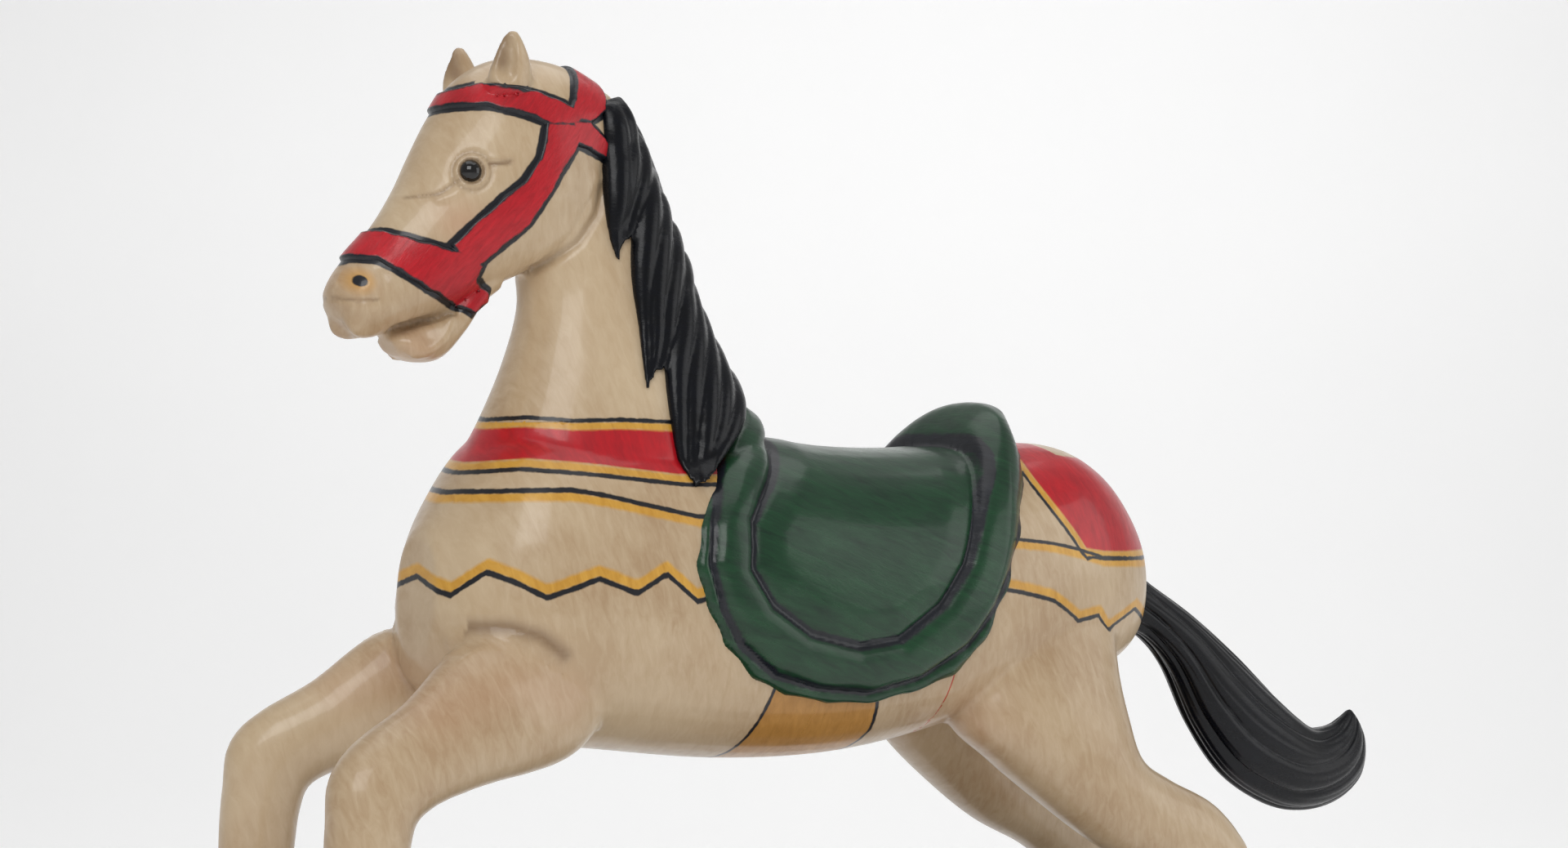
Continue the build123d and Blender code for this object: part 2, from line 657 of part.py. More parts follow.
def make_pillow_block(side):
    y0, y1 = side * BLOCK_Y - BLOCK_WIDTH / 2, side * BLOCK_Y + BLOCK_WIDTH / 2
    body = block(-58, 58, y0, y1, BLOCK_FOOT, BLOCK_FOOT + 14)
    body += block(-30, 30, y0, y1, BLOCK_FOOT, PIVOT_HEIGHT)
    body += round_y(0, y0, y1, PIVOT_HEIGHT, 30)
    body -= round_y(0, y0 - 1, y1 + 1, PIVOT_HEIGHT, BUSH_RADIUS)
    for x in (-44, 44):
        body -= round_z(x, side * BLOCK_Y, BLOCK_FOOT - 1, BLOCK_FOOT + 15, 5.5)
    return body


def make_bush(side):
    y0, y1 = side * BLOCK_Y - BLOCK_WIDTH / 2, side * BLOCK_Y + BLOCK_WIDTH / 2
    ring = round_y(0, y0, y1, PIVOT_HEIGHT, BUSH_RADIUS)
    return ring - round_y(0, y0 - 1, y1 + 1, PIVOT_HEIGHT, SHAFT_DIAMETER / 2 + RUNNING_GAP)


def make_bearing_pedestal(side):
    """Welded stand from the deck up to the pillow block: two plates and three upright webs."""
    y = side * BLOCK_Y
    foot = block(-PEDESTAL_HALF_X, PEDESTAL_HALF_X, y - PEDESTAL_HALF_Y, y + PEDESTAL_HALF_Y,
                 DECK_TOP, DECK_TOP + PEDESTAL_PLATE)
    seat = block(-PEDESTAL_HALF_X, PEDESTAL_HALF_X, y - BLOCK_WIDTH / 2 - 2, y + BLOCK_WIDTH / 2 + 2,
                 BLOCK_FOOT - PEDESTAL_PLATE, BLOCK_FOOT)
    stand = foot + seat
    for x in (-24, 0, 24):
        stand += block(x - 4, x + 4, y - 14, y + 14, DECK_TOP + PEDESTAL_PLATE, BLOCK_FOOT - PEDESTAL_PLATE)
    for x in (-44, 44):
        stand -= round_z(x, y, DECK_TOP - 1, BLOCK_FOOT + 1, 5.5)
    return stand


def make_bearing_bolts():
    """M10 bolts that hold each pillow block on its pedestal: head, shank and nut in one solid."""
    bolts = []
    for s in (-1, 1):
        for x in (-44, 44):
            y = s * BLOCK_Y
            bolt = hexagon(x, y, BLOCK_FOOT + 14, BLOCK_FOOT + 21, 17)
            bolt += round_z(x, y, BLOCK_FOOT - PEDESTAL_PLATE - 12, BLOCK_FOOT + 14, 5)
            bolt += hexagon(x, y, BLOCK_FOOT - PEDESTAL_PLATE - 8, BLOCK_FOOT - PEDESTAL_PLATE, 17)
            bolts.append(bolt)
    return bolts


def make_clevis_pin():
    end = ROD_THICKNESS / 2 + 7
    pin = round_y(ROD_PIN_X, -end, end, ROD_PIN_Z, PIN_DIAMETER / 2)
    pin += round_y(ROD_PIN_X, -end - 4, -end, ROD_PIN_Z, PIN_DIAMETER / 2 + 4)
    pin += round_y(ROD_PIN_X, end, end + 4, ROD_PIN_Z, PIN_DIAMETER / 2 + 3)
    return pin


# ---------------------------------------------------------------- drive
def make_connecting_rod():
    y0, y1 = -ROD_THICKNESS / 2, ROD_THICKNESS / 2
    rod = block(ROD_PIN_X - 9, ROD_PIN_X + 9, y0, y1, CRANK_Z, ROD_PIN_Z)
    rod += round_y(ROD_PIN_X, y0, y1, ROD_PIN_Z, ROD_EYE - 2)
    rod += round_y(ROD_PIN_X, y0, y1, CRANK_Z, ROD_EYE)
    rod -= round_y(ROD_PIN_X, y0 - 1, y1 + 1, ROD_PIN_Z, PIN_DIAMETER / 2 + RUNNING_GAP)
    rod -= round_y(ROD_PIN_X, y0 - 1, y1 + 1, CRANK_Z, PIN_DIAMETER / 2 + RUNNING_GAP)
    return rod


def make_crank():
    """Crank arm with its pin, on the outer end of the gearbox's output shaft."""
    y0, y1 = ARM_Y - ARM_THICKNESS, ARM_Y
    arm = block(CRANK_X, ROD_PIN_X, y0, y1, CRANK_Z - 16, CRANK_Z + 16)
    arm += round_y(CRANK_X, y0, y1, CRANK_Z, 20)
    arm += round_y(ROD_PIN_X, y0, y1, CRANK_Z, 16)
    arm += round_y(ROD_PIN_X, y1, -ROD_THICKNESS / 2 - OPEN_PIVOT_GAP, CRANK_Z, PIN_DIAMETER / 2)
    return arm - round_y(CRANK_X, y0 - 1, y1 + 1, CRANK_Z, OUTPUT_SHAFT / 2)


def make_output_shaft():
    return round_y(CRANK_X, GEARBOX_Y - GEARBOX_WIDTH + GEARBOX_WALL + 1, ARM_Y, CRANK_Z, OUTPUT_SHAFT / 2)


WHEEL_WIDTH = 20.0


def make_worm_wheel():
    ring = round_y(CRANK_X, INPUT_Y - WHEEL_WIDTH / 2, INPUT_Y + WHEEL_WIDTH / 2, CRANK_Z, WHEEL_RADIUS)
    return ring - round_y(CRANK_X, INPUT_Y - 20, INPUT_Y + 20, CRANK_Z, OUTPUT_SHAFT / 2)


def make_worm_shaft():
    x1 = CRANK_X + GEARBOX_HALF - GEARBOX_WALL - 1
    shaft = round_x(PULLEY_X - PULLEY_WIDTH / 2, x1, INPUT_Y, INPUT_Z, INPUT_SHAFT / 2)
    return shaft + round_x(CRANK_X - 26, CRANK_X + 26, INPUT_Y, INPUT_Z, WORM_RADIUS)


def pulley(y, z, radius, bore):
    """A V pulley on an X shaft: a turned disc with a V groove."""
    x0, x1 = PULLEY_X - PULLEY_WIDTH / 2, PULLEY_X + PULLEY_WIDTH / 2
    outline = Polyline((x0, bore), (x0, radius), (PULLEY_X - BELT_WIDTH / 2 - 1, radius),
                       (PULLEY_X - 3, radius - 8), (PULLEY_X + 3, radius - 8),
                       (PULLEY_X + BELT_WIDTH / 2 + 1, radius), (x1, radius), (x1, bore), close=True)
    return Pos(0, y, z) * revolve(make_face(Plane.XY * outline), Axis.X)


def make_gearbox():
    """Cast housing, open at its side, with seats for both shafts."""
    x0, x1 = CRANK_X - GEARBOX_HALF, CRANK_X + GEARBOX_HALF
    y0, y1 = GEARBOX_Y - GEARBOX_WIDTH, GEARBOX_Y
    w = GEARBOX_WALL
    body = block(x0, x1, y0, y1, TRAY_TOP + 8, GEARBOX_TOP)
    body += block(x0 - 18, x1 + 18, y0, y1, TRAY_TOP, TRAY_TOP + 8)
    body -= block(x0 + w, x1 - w, y0 + w, y1 + 1, TRAY_TOP + 8 + w, GEARBOX_TOP - w)
    return body - round_x(x0 - 1, x0 + w + 1, INPUT_Y, INPUT_Z, INPUT_SHAFT / 2 + RUNNING_GAP)


def make_gearbox_cover():
    x0, x1 = CRANK_X - GEARBOX_HALF + 1, CRANK_X + GEARBOX_HALF - 1
    cover = block(x0, x1, GEARBOX_Y, GEARBOX_Y + 4, TRAY_TOP + 9, GEARBOX_TOP - 1)
    return cover - round_y(CRANK_X, GEARBOX_Y - 1, GEARBOX_Y + 5, CRANK_Z, OUTPUT_SHAFT / 2 + RUNNING_GAP)


def make_motor():
    """Motor body with cooling ribs, closed by an end bell with the shaft hole."""
    x0 = MOTOR_FRONT - MOTOR_LENGTH
    body = round_x(x0, MOTOR_FRONT, MOTOR_Y, MOTOR_Z, MOTOR_RADIUS - 4)
    for i in range(9):
        x = x0 + 18 + 15 * i
        body += round_x(x, x + 6, MOTOR_Y, MOTOR_Z, MOTOR_RADIUS)
    return body - round_x(MOTOR_FRONT - 40, MOTOR_FRONT + 1, MOTOR_Y, MOTOR_Z, INPUT_SHAFT / 2 + RUNNING_GAP)


def make_motor_mount():
    """Slotted foot plate with two cradles under the motor."""
    x0 = MOTOR_FRONT - MOTOR_LENGTH
    mount = block(x0 + 5, MOTOR_FRONT - 5, MOTOR_Y - 60, MOTOR_Y + 60, TRAY_TOP, TRAY_TOP + 5)
    for x in (x0 + 25, MOTOR_FRONT - 40):
        mount += block(x, x + 8, MOTOR_Y - 40, MOTOR_Y + 40, TRAY_TOP + 5, TRAY_TOP + 34)
    return mount - round_x(x0 - 5, MOTOR_FRONT + 5, MOTOR_Y, MOTOR_Z, MOTOR_RADIUS)


def make_motor_shaft():
    return round_x(MOTOR_FRONT - 40, PULLEY_X + PULLEY_WIDTH / 2, MOTOR_Y, MOTOR_Z, INPUT_SHAFT / 2)


def make_belt():
    """V belt round both pulleys, lying in their grooves with a small gap."""
    def loop(extra):
        a = Pos(INPUT_Y, INPUT_Z) * Circle(INPUT_PULLEY_RADIUS + extra)
        b = Pos(MOTOR_Y, MOTOR_Z) * Circle(MOTOR_PULLEY_RADIUS + extra)
        return make_hull((a + b).edges())
    band = extrude(loop(-1.0) - loop(-7.0), 2.5, both=True)
    # the sketch's X is the machine's Y, its Y is the machine's Z
    return Plane(origin=(PULLEY_X, 0, 0), x_dir=(0, 1, 0), z_dir=(1, 0, 0)) * band


def make_control_box():
    """Sealed steel box with the ride timer and the relays."""
    x0, x1, y0, y1 = -260.0, -100.0, -150.0, -30.0
    box = block(x0, x1, y0, y1, TRAY_TOP, TRAY_TOP + 70)
    return box - block(x0 + 2, x1 - 2, y0 + 2, y1 - 2, TRAY_TOP + 2, TRAY_TOP + 71)


def make_control_lid():
    return block(-262, -98, -152, -28, TRAY_TOP + 70, TRAY_TOP + 73)


def make_timer_board():
    """Circuit board with a relay and a timer block, on four posts."""
    x0, x1, y0, y1, z = -250, -110, -140, -40, TRAY_TOP + 12
    board = block(x0, x1, y0, y1, z, z + 2)
    board += block(x0 + 10, x0 + 50, y0 + 10, y0 + 50, z + 2, z + 30)
    board += block(x0 + 70, x0 + 100, y0 + 20, y0 + 40, z + 2, z + 22)
    for x in (x0 + 6, x1 - 6):
        for y in (y0 + 6, y1 - 6):
            board += round_z(x, y, TRAY_TOP + 2, z, 3)
    return board


def make_cable_gland():
    """Gland in the rear panel where the supply lead would enter."""
    gland = round_x(HALF_LENGTH, HALF_LENGTH + 14, INLET_Y, INLET_Z, INLET_RADIUS)
    gland += round_x(HALF_LENGTH, HALF_LENGTH + 5, INLET_Y, INLET_Z, INLET_RADIUS + 4)
    return gland - round_x(HALF_LENGTH + 3, HALF_LENGTH + 15, INLET_Y, INLET_Z, 5)


# ---------------------------------------------------------------- service door
def make_service_door():
    x, y, reach = HALF_LENGTH + 1, SERVICE_HINGE_Y, SERVICE_HALF + SERVICE_LAP
    door = block(x, x + SHEET, -reach, reach, SERVICE_LOW - SERVICE_LAP, SERVICE_HIGH + SERVICE_LAP)
    for z in (SERVICE_LOW + 10, SERVICE_HIGH - 10):
        door += round_z(SERVICE_HINGE_X, y, z - 9, z + 9, 4)
        door += block(x, x + SHEET, y, y + 12, z - 9, z + 9)
        door -= round_z(SERVICE_HINGE_X, y, z - 20, z + 20, 2 + RUNNING_GAP)
    return door - round_x(HALF_LENGTH - 2, HALF_LENGTH + 6, SERVICE_HALF - 8, SERVICE_MIDDLE, 6 + 0.2)


SERVICE_HINGE_X = HALF_LENGTH + 5.0
SERVICE_HINGE_Y = -SERVICE_HALF - SERVICE_LAP - 4.0
SERVICE_MIDDLE = (SERVICE_LOW + SERVICE_HIGH) / 2


def make_service_hinge():
    """Fixed leaf pieces: a pin with a bracket at each end, riveted to the rear panel."""
    z0, z1 = SERVICE_LOW - 8, SERVICE_HIGH + 8
    pin = round_z(SERVICE_HINGE_X, SERVICE_HINGE_Y, z0, z1, 2)
    for z in (z0 - 4, z1):
        pin += block(HALF_LENGTH, SERVICE_HINGE_X + 3, SERVICE_HINGE_Y - 4, SERVICE_HINGE_Y + 3, z, z + 4)
    return pin


def make_service_latch():
    """Quarter-turn latch: knob outside, cam behind the panel edge."""
    x, y, z = HALF_LENGTH, SERVICE_HALF - 8, SERVICE_MIDDLE
    knob = round_x(x + 1 + SHEET, x + 10, y, z, 11)
    knob += round_x(x - 8, x + 1 + SHEET, y, z, 6)
    knob += block(x + 10, x + 15, y - 9, y + 9, z - 2.5, z + 2.5)
    # the cam stands upright when unlocked and turns outwards behind the panel's edge
    return knob + block(x - 8, x - 5, y - 6, y + 6, z - 6, z + 22)


# ---------------------------------------------------------------- coin pedestal
FASCIA_MIDDLE = 338.0
FASCIA_LOW = FASCIA_MIDDLE - FASCIA_HEIGHT / 2
FASCIA_HIGH = FASCIA_MIDDLE + FASCIA_HEIGHT / 2
SLOT_Y = -38.0
SLOT_Z = FASCIA_MIDDLE + 14.0
REJECT_Y = 38.0
REJECT_Z = FASCIA_MIDDLE + 14.0
CUP_HALF = 27.0
CUP_LOW = FASCIA_LOW + 8.0
CUP_HIGH = CUP_LOW + 34.0
CUP_DEPTH = 42.0
DOOR_HALF = DOOR_WIDTH / 2
DOOR_TOP = DOOR_FOOT + DOOR_HEIGHT
START_X = (PED_BACK + PED_FRONT) / 2
START_Z = PEDESTAL_TOP - PEDESTAL_SLOPE / 2


def pedestal_solid(inset):
    """The pedestal's outer shape, or its inner space, as one solid."""
    side = Polyline((PED_BACK, PEDESTAL_FOOT), (PED_BACK, PEDESTAL_TOP),
                    (PED_FRONT, PEDESTAL_TOP - PEDESTAL_SLOPE), (PED_FRONT, PEDESTAL_FOOT), close=True)
    face = make_face(Plane.XZ * side)
    if inset:
        face = offset(face, -inset, kind=Kind.INTERSECTION)
    return extrude(face, PED_HALF - inset, both=True)


def make_pedestal_housing():
    """Folded sheet column with a sloping top, a doorway and cut-outs for the coin plate and start button."""
    body = pedestal_solid(0) - pedestal_solid(SHEET)
    x0, x1 = PED_FRONT - 1, PED_FRONT + SHEET + 1
    body -= block(x0, x1, -DOOR_HALF + 6, DOOR_HALF - 6, DOOR_FOOT + 6, DOOR_TOP - 6)
    body -= block(x0, x1, SLOT_Y - 8, SLOT_Y + 8, SLOT_Z - 20, SLOT_Z + 20)
    body -= block(x0, x1, -CUP_HALF - 0.5, CUP_HALF + 0.5, CUP_LOW - 0.5, CUP_HIGH + 0.5)
    body -= round_x(x0, x1, REJECT_Y, REJECT_Z, BUTTON_DIAMETER / 2 + 3)
    for y, z in PEDESTAL_BOLT_PLACES:
        body -= pedestal_shank(y, z)
    return body - round_z(START_X, 0, START_Z - 20, START_Z + 20, START_BUTTON_DIAMETER / 2 + BUTTON_GAP)


def make_fascia():
    """Stainless coin plate with the coin slot, the return opening and the reject button's hole."""
    x0, x1 = PED_FRONT - FASCIA_THICKNESS, PED_FRONT
    plate = block(x0, x1, -FASCIA_WIDTH / 2, FASCIA_WIDTH / 2, FASCIA_LOW, FASCIA_HIGH)
    plate = fillet(plate.edges().filter_by(Axis.X), 6)
    plate += block(x0 - 5, x0, SLOT_Y - 9, SLOT_Y + 9, SLOT_Z - 20, SLOT_Z + 20)
    plate -= block(x0 - 6, x1 + 1, SLOT_Y - COIN_SLOT_WIDTH / 2, SLOT_Y + COIN_SLOT_WIDTH / 2,
                   SLOT_Z - COIN_SLOT_HEIGHT / 2, SLOT_Z + COIN_SLOT_HEIGHT / 2)
    plate -= block(x0 - 1, x1 + 1, -CUP_HALF, CUP_HALF, CUP_LOW, CUP_HIGH)
    return plate - round_x(x0 - 6, x1 + 1, REJECT_Y, REJECT_Z, BUTTON_DIAMETER / 2 + BUTTON_GAP)


def make_return_cup():
    """Pressed cup behind the return opening, open at the front."""
    x0, x1 = PED_FRONT + SHEET, PED_FRONT + SHEET + CUP_DEPTH
    cup = block(x0, x1, -CUP_HALF - 2, CUP_HALF + 2, CUP_LOW - 2, CUP_HIGH + 2)
    return cup - block(x0 - 1, x1 - 2, -CUP_HALF, CUP_HALF, CUP_LOW, CUP_HIGH)


def make_coin_mech():
    """Coin acceptor: a flat steel unit behind the slot with a coin track and a fixing lug."""
    x0 = PED_FRONT + SHEET + CUP_DEPTH + 4
    unit = block(x0, x0 + 46, SLOT_Y - 14, SLOT_Y + 14, FASCIA_LOW - 10, FASCIA_HIGH + 14)
    throat = block(PED_FRONT, x0, SLOT_Y - 7, SLOT_Y + 7, SLOT_Z - 19, SLOT_Z + 19)
    unit += throat
    return unit - block(PED_FRONT - 1, x0 + 30, SLOT_Y - COIN_SLOT_WIDTH / 2, SLOT_Y + COIN_SLOT_WIDTH / 2,
                        SLOT_Z - COIN_SLOT_HEIGHT / 2, SLOT_Z + COIN_SLOT_HEIGHT / 2)


def make_reject_button():
    x0 = PED_FRONT - FASCIA_THICKNESS
    button = round_x(x0 - 7, PED_FRONT + SHEET + 20, REJECT_Y, REJECT_Z, BUTTON_DIAMETER / 2)
    return button


def make_button_guide():
    """Guide block behind the coin plate that the reject button slides in."""
    x0 = PED_FRONT + SHEET
    guide = block(x0, x0 + 34, REJECT_Y - 16, REJECT_Y + 16, REJECT_Z - 16, REJECT_Z + 16)
    return guide - round_x(x0 - 1, x0 + 30, REJECT_Y, REJECT_Z, BUTTON_DIAMETER / 2 + BUTTON_GAP)


def make_start_button():
    """Round push button that stands up out of the sloping top."""
    top = START_Z + 14
    return round_z(START_X, 0, START_Z - 26, top, START_BUTTON_DIAMETER / 2)


def make_start_collar():
    """Button cage under the top plate, with a stop below the button."""
    r = START_BUTTON_DIAMETER / 2
    cage = round_z(START_X, 0, START_Z - 40, START_Z + 20, r + 5) & pedestal_solid(SHEET)
    return cage - round_z(START_X, 0, START_Z - 34, START_Z + 20, r + BUTTON_GAP)


def make_cash_box():
    x0, x1 = PED_FRONT + SHEET + 18, PED_BACK - SHEET - 8
    z0 = PEDESTAL_FOOT + SHEET
    box = block(x0, x1, -DOOR_HALF + 14, DOOR_HALF - 14, z0, z0 + 110)
    return box - block(x0 + 2, x1 - 2, -DOOR_HALF + 16, DOOR_HALF - 16, z0 + 2, z0 + 111)


DOOR_X = PED_FRONT - 1.0 - SHEET
CASH_HINGE_X = PED_FRONT - 5.0
CASH_HINGE_Y = -DOOR_HALF - 4.0


def make_cash_door():
    door = block(DOOR_X, DOOR_X + SHEET, -DOOR_HALF, DOOR_HALF, DOOR_FOOT, DOOR_TOP)
    for z in (DOOR_FOOT + 22, DOOR_TOP - 22):
        door += round_z(CASH_HINGE_X, CASH_HINGE_Y, z - 12, z + 12, 4) + block(
            DOOR_X, DOOR_X + SHEET, CASH_HINGE_Y, -DOOR_HALF + 6, z - 12, z + 12)
        door -= round_z(CASH_HINGE_X, CASH_HINGE_Y, z - 30, z + 30, 2 + RUNNING_GAP)
    return door - round_x(DOOR_X - 3, DOOR_X + 5, DOOR_HALF - 16, DOOR_MIDDLE, 8 + 0.2)


DOOR_MIDDLE = (DOOR_FOOT + DOOR_TOP) / 2


def make_cash_hinge():
    z0, z1 = DOOR_FOOT + 2, DOOR_TOP - 2
    pin = round_z(CASH_HINGE_X, CASH_HINGE_Y, z0, z1, 2)
    for z in (z0 - 4, z1):
        pin += block(CASH_HINGE_X - 3, PED_FRONT, CASH_HINGE_Y - 4, CASH_HINGE_Y + 3, z, z + 4)
    return pin


def make_cash_lock():
    """Cam lock in the cash door: barrel, flange with a key slot and a cam behind the doorway's edge."""
    y, z = DOOR_HALF - 16, DOOR_MIDDLE
    lock = round_x(DOOR_X - 4, DOOR_X, y, z, 11) + round_x(DOOR_X, PED_FRONT + 12, y, z, 8)
    lock -= block(DOOR_X - 5, DOOR_X - 1, y - 0.8, y + 0.8, z - 4, z + 4)
    # the cam stands upright when unlocked and turns outwards behind the doorway's edge
    return lock + block(PED_FRONT + 9, PED_FRONT + 12, y - 6, y + 6, z - 6, z + 21)


def make_pedestal_bolts():
    """M8 bolts that clamp the coin pedestal to the front panel and the frame tubes behind it."""
    bolts = []
    for y, z in PEDESTAL_BOLT_PLACES:
        head = Pos(PED_BACK - SHEET - 5, y, z) * Rot(0, 90, 0) * extrude(RegularPolygon(6.5, 6, rotation=30), 5)
        bolts.append(head + pedestal_shank(y, z))
    return bolts


# ---------------------------------------------------------------- write the nodes
neck_head = make_neck_head()
torso = make_torso()
save("horse_armature", make_armature())
save("torso_shell_left", left_half(torso))
save("torso_shell_right", right_half(torso))
save("neck_head_shell_left", left_half(neck_head))
save("neck_head_shell_right", right_half(neck_head))
foreleg, hindleg = make_leg(FORELEG, FORE_ROD), make_leg(HINDLEG, HIND_ROD)
save("foreleg_left", foreleg)
save("foreleg_right", mirrored(foreleg))
save("hind_leg_left", hindleg)
save("hind_leg_right", mirrored(hindleg))
fore_hoof, hind_hoof = make_hoof(FORE_HOOF, FORE_ROD), make_hoof(HIND_HOOF, HIND_ROD)
save("hooves", fore_hoof, mirrored(fore_hoof), hind_hoof, mirrored(hind_hoof))
ear = make_ear()
save("ears", ear, mirrored(ear))
save("mane", make_mane())
save("tail", make_tail())
save("saddle", make_saddle())
save("bridle", make_bridle())
save("base_frame", *make_base_frame(), *make_foot_bars())
save("drive_tray", make_drive_tray())
side_panel = make_side_panel()
save("side_panels", side_panel, mirrored(side_panel))
save("front_panel", make_front_panel())
save("rear_panel", make_rear_panel())
save("deck_plate", make_deck())
save("deck_mat", make_mat())
save("deck_trim", *make_deck_trim())
save("rocker_frame", make_rocker_frame(), *make_hoof_plates())
save("leg_rod_nuts", *make_rod_nuts())
save("rail_end_caps", *make_rail_caps())
save("pivot_shaft", make_pivot_shaft())
save("shaft_collars", *make_collars())
save("bearing_pedestals", make_bearing_pedestal(-1), make_bearing_pedestal(1))
save("pillow_blocks", make_pillow_block(-1), make_pillow_block(1))
save("pivot_bushes", make_bush(-1), make_bush(1))
save("clevis_pin", make_clevis_pin())
save("connecting_rod", make_connecting_rod())
save("crank_arm", make_crank())
save("output_shaft", make_output_shaft())
save("worm_wheel", make_worm_wheel())
save("worm_shaft", make_worm_shaft())
save("input_pulley", pulley(INPUT_Y, INPUT_Z, INPUT_PULLEY_RADIUS, INPUT_SHAFT / 2))
save("gearbox_housing", make_gearbox(), make_gearbox_cover())
save("motor", make_motor(), make_motor_mount())
save("motor_shaft", make_motor_shaft())
save("motor_pulley", pulley(MOTOR_Y, MOTOR_Z, MOTOR_PULLEY_RADIUS, INPUT_SHAFT / 2))
save("drive_belt", make_belt())
save("control_box", make_control_box(), make_control_lid())
save("timer_board", make_timer_board())
save("cable_gland", make_cable_gland())
save("service_door", make_service_door())
save("service_latch", make_service_latch())
save("coin_pedestal", make_pedestal_housing())
save("coin_plate", make_fascia())
save("coin_return_cup", make_return_cup())
save("coin_mech", make_coin_mech())
save("reject_button", make_reject_button())
save("button_guides", make_button_guide(), make_start_collar())
save("start_button", make_start_button())
save("cash_box", make_cash_box())
save("cash_door", make_cash_door())
save("door_hinge_pins", make_service_hinge(), make_cash_hinge())
save("cash_lock", make_cash_lock())
save("frame_bolts", *make_bearing_bolts(), *make_pedestal_bolts())
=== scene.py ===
# %% [markdown]
# # A coin ride with a galloping horse
# The machine is a moulded, hand-painted horse on a rocking frame, over a steel cabinet with a coin
# pedestal. The frame, shafts, panels and coin parts come finished from the design model. This
# script makes what a painter and a sculptor would make: the horse's skin, mane, tail, saddle,
# bridle and eyes, and every finish.

# %% Load the machine's frame
import json
from math import cos, pi, radians, sin

import bpy
import numpy as np
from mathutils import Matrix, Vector
from mathutils.bvhtree import BVHTree


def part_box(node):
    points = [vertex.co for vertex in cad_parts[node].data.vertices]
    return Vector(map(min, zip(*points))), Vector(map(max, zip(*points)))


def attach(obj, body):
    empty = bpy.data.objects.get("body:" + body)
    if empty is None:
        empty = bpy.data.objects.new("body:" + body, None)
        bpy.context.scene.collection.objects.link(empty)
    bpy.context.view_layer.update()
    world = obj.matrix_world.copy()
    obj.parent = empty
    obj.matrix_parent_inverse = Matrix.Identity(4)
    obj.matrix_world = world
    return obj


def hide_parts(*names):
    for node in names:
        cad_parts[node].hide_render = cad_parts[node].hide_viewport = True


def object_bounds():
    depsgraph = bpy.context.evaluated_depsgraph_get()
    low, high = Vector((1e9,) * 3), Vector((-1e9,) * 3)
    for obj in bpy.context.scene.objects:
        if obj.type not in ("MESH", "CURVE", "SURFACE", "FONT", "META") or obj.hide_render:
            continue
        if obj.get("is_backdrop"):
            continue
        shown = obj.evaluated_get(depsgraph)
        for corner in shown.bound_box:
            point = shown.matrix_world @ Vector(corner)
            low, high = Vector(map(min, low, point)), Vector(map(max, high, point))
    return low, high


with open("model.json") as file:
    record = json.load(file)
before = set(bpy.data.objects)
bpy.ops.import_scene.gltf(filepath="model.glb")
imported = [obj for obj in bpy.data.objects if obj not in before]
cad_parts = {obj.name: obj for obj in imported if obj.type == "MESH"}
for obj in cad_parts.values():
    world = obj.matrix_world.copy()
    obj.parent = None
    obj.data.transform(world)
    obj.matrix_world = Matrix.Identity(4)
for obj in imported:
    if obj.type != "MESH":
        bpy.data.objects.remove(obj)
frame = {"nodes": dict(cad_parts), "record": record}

CAD_BOX = [list(corner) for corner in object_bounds()]
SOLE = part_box("hooves")[0][2]
DATUM = SOLE + 0.655     # the horse's own zero height, level with the top of its chest band
EAR_LINE = 297           # the bridle leaves the ears free above this height
FAR = 99                 # stored where the skin has no such line or strap
print("machine box", CAD_BOX, "horse datum", round(DATUM, 4))

# %% [markdown]
# ## Working in a dense mesh
# A carved horse has no straight edges, so it is made as a sculptor makes it: rough volumes first,
# fused into one clay, then worked with soft brushes. All the horse's sizes are millimetres from
# its datum, and x runs from nose to tail. These helpers place a mesh, copy it, join it and finish
# it.

# %% Meshes and modifiers
def deselect():
    if bpy.context.object and bpy.context.object.mode != "OBJECT":
        bpy.ops.object.mode_set(mode="OBJECT")
    bpy.ops.object.select_all(action="DESELECT")


def add_mesh(name, points, faces):
    """Points in the horse's millimetres become an object in the machine's metres."""
    p = np.asarray(points, float) / 1000
    p[:, 2] += DATUM
    mesh = bpy.data.meshes.new(name)
    mesh.from_pydata(p.tolist(), [], faces)
    mesh.update()
    obj = bpy.data.objects.new(name, mesh)
    bpy.context.scene.collection.objects.link(obj)
    return obj


def copy_of(obj, name):
    new = obj.copy()
    new.data = obj.data.copy()
    new.name = name
    bpy.context.scene.collection.objects.link(new)
    return new


def join(name, pieces):
    deselect()
    for piece in pieces:
        piece.select_set(True)
    bpy.context.view_layer.objects.active = pieces[0]
    bpy.ops.object.join()
    pieces[0].name = name
    return pieces[0]


def apply_modifier(obj, kind, **settings):
    deselect()
    obj.select_set(True)
    bpy.context.view_layer.objects.active = obj
    modifier = obj.modifiers.new(kind, kind)
    for key, value in settings.items():
        setattr(modifier, key, value)
    bpy.ops.object.modifier_apply(modifier=modifier.name)
    return obj


def give_attribute(obj, name, values):
    layer = obj.data.attributes.new(name, "FLOAT", "POINT")
    layer.data.foreach_set("value", np.asarray(values, float))


def finish_piece(obj, paint):
    """Smooth shading, one material, and a ride on the rocker."""
    obj.data.materials.clear()
    obj.data.materials.append(paint)
    obj.data.polygons.foreach_set("use_smooth", np.ones(len(obj.data.polygons), bool))
    obj.data.update()
    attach(obj, "rocker")
    print(obj.name, len(obj.data.polygons), "faces")


# %% [markdown]
# ## Ribs and lofts
# Each volume is a row of ribs, ovals between two points of its outline, with a smooth curve
# through them. Circles could be placed one by one with operators, but a list of ribs reads better.

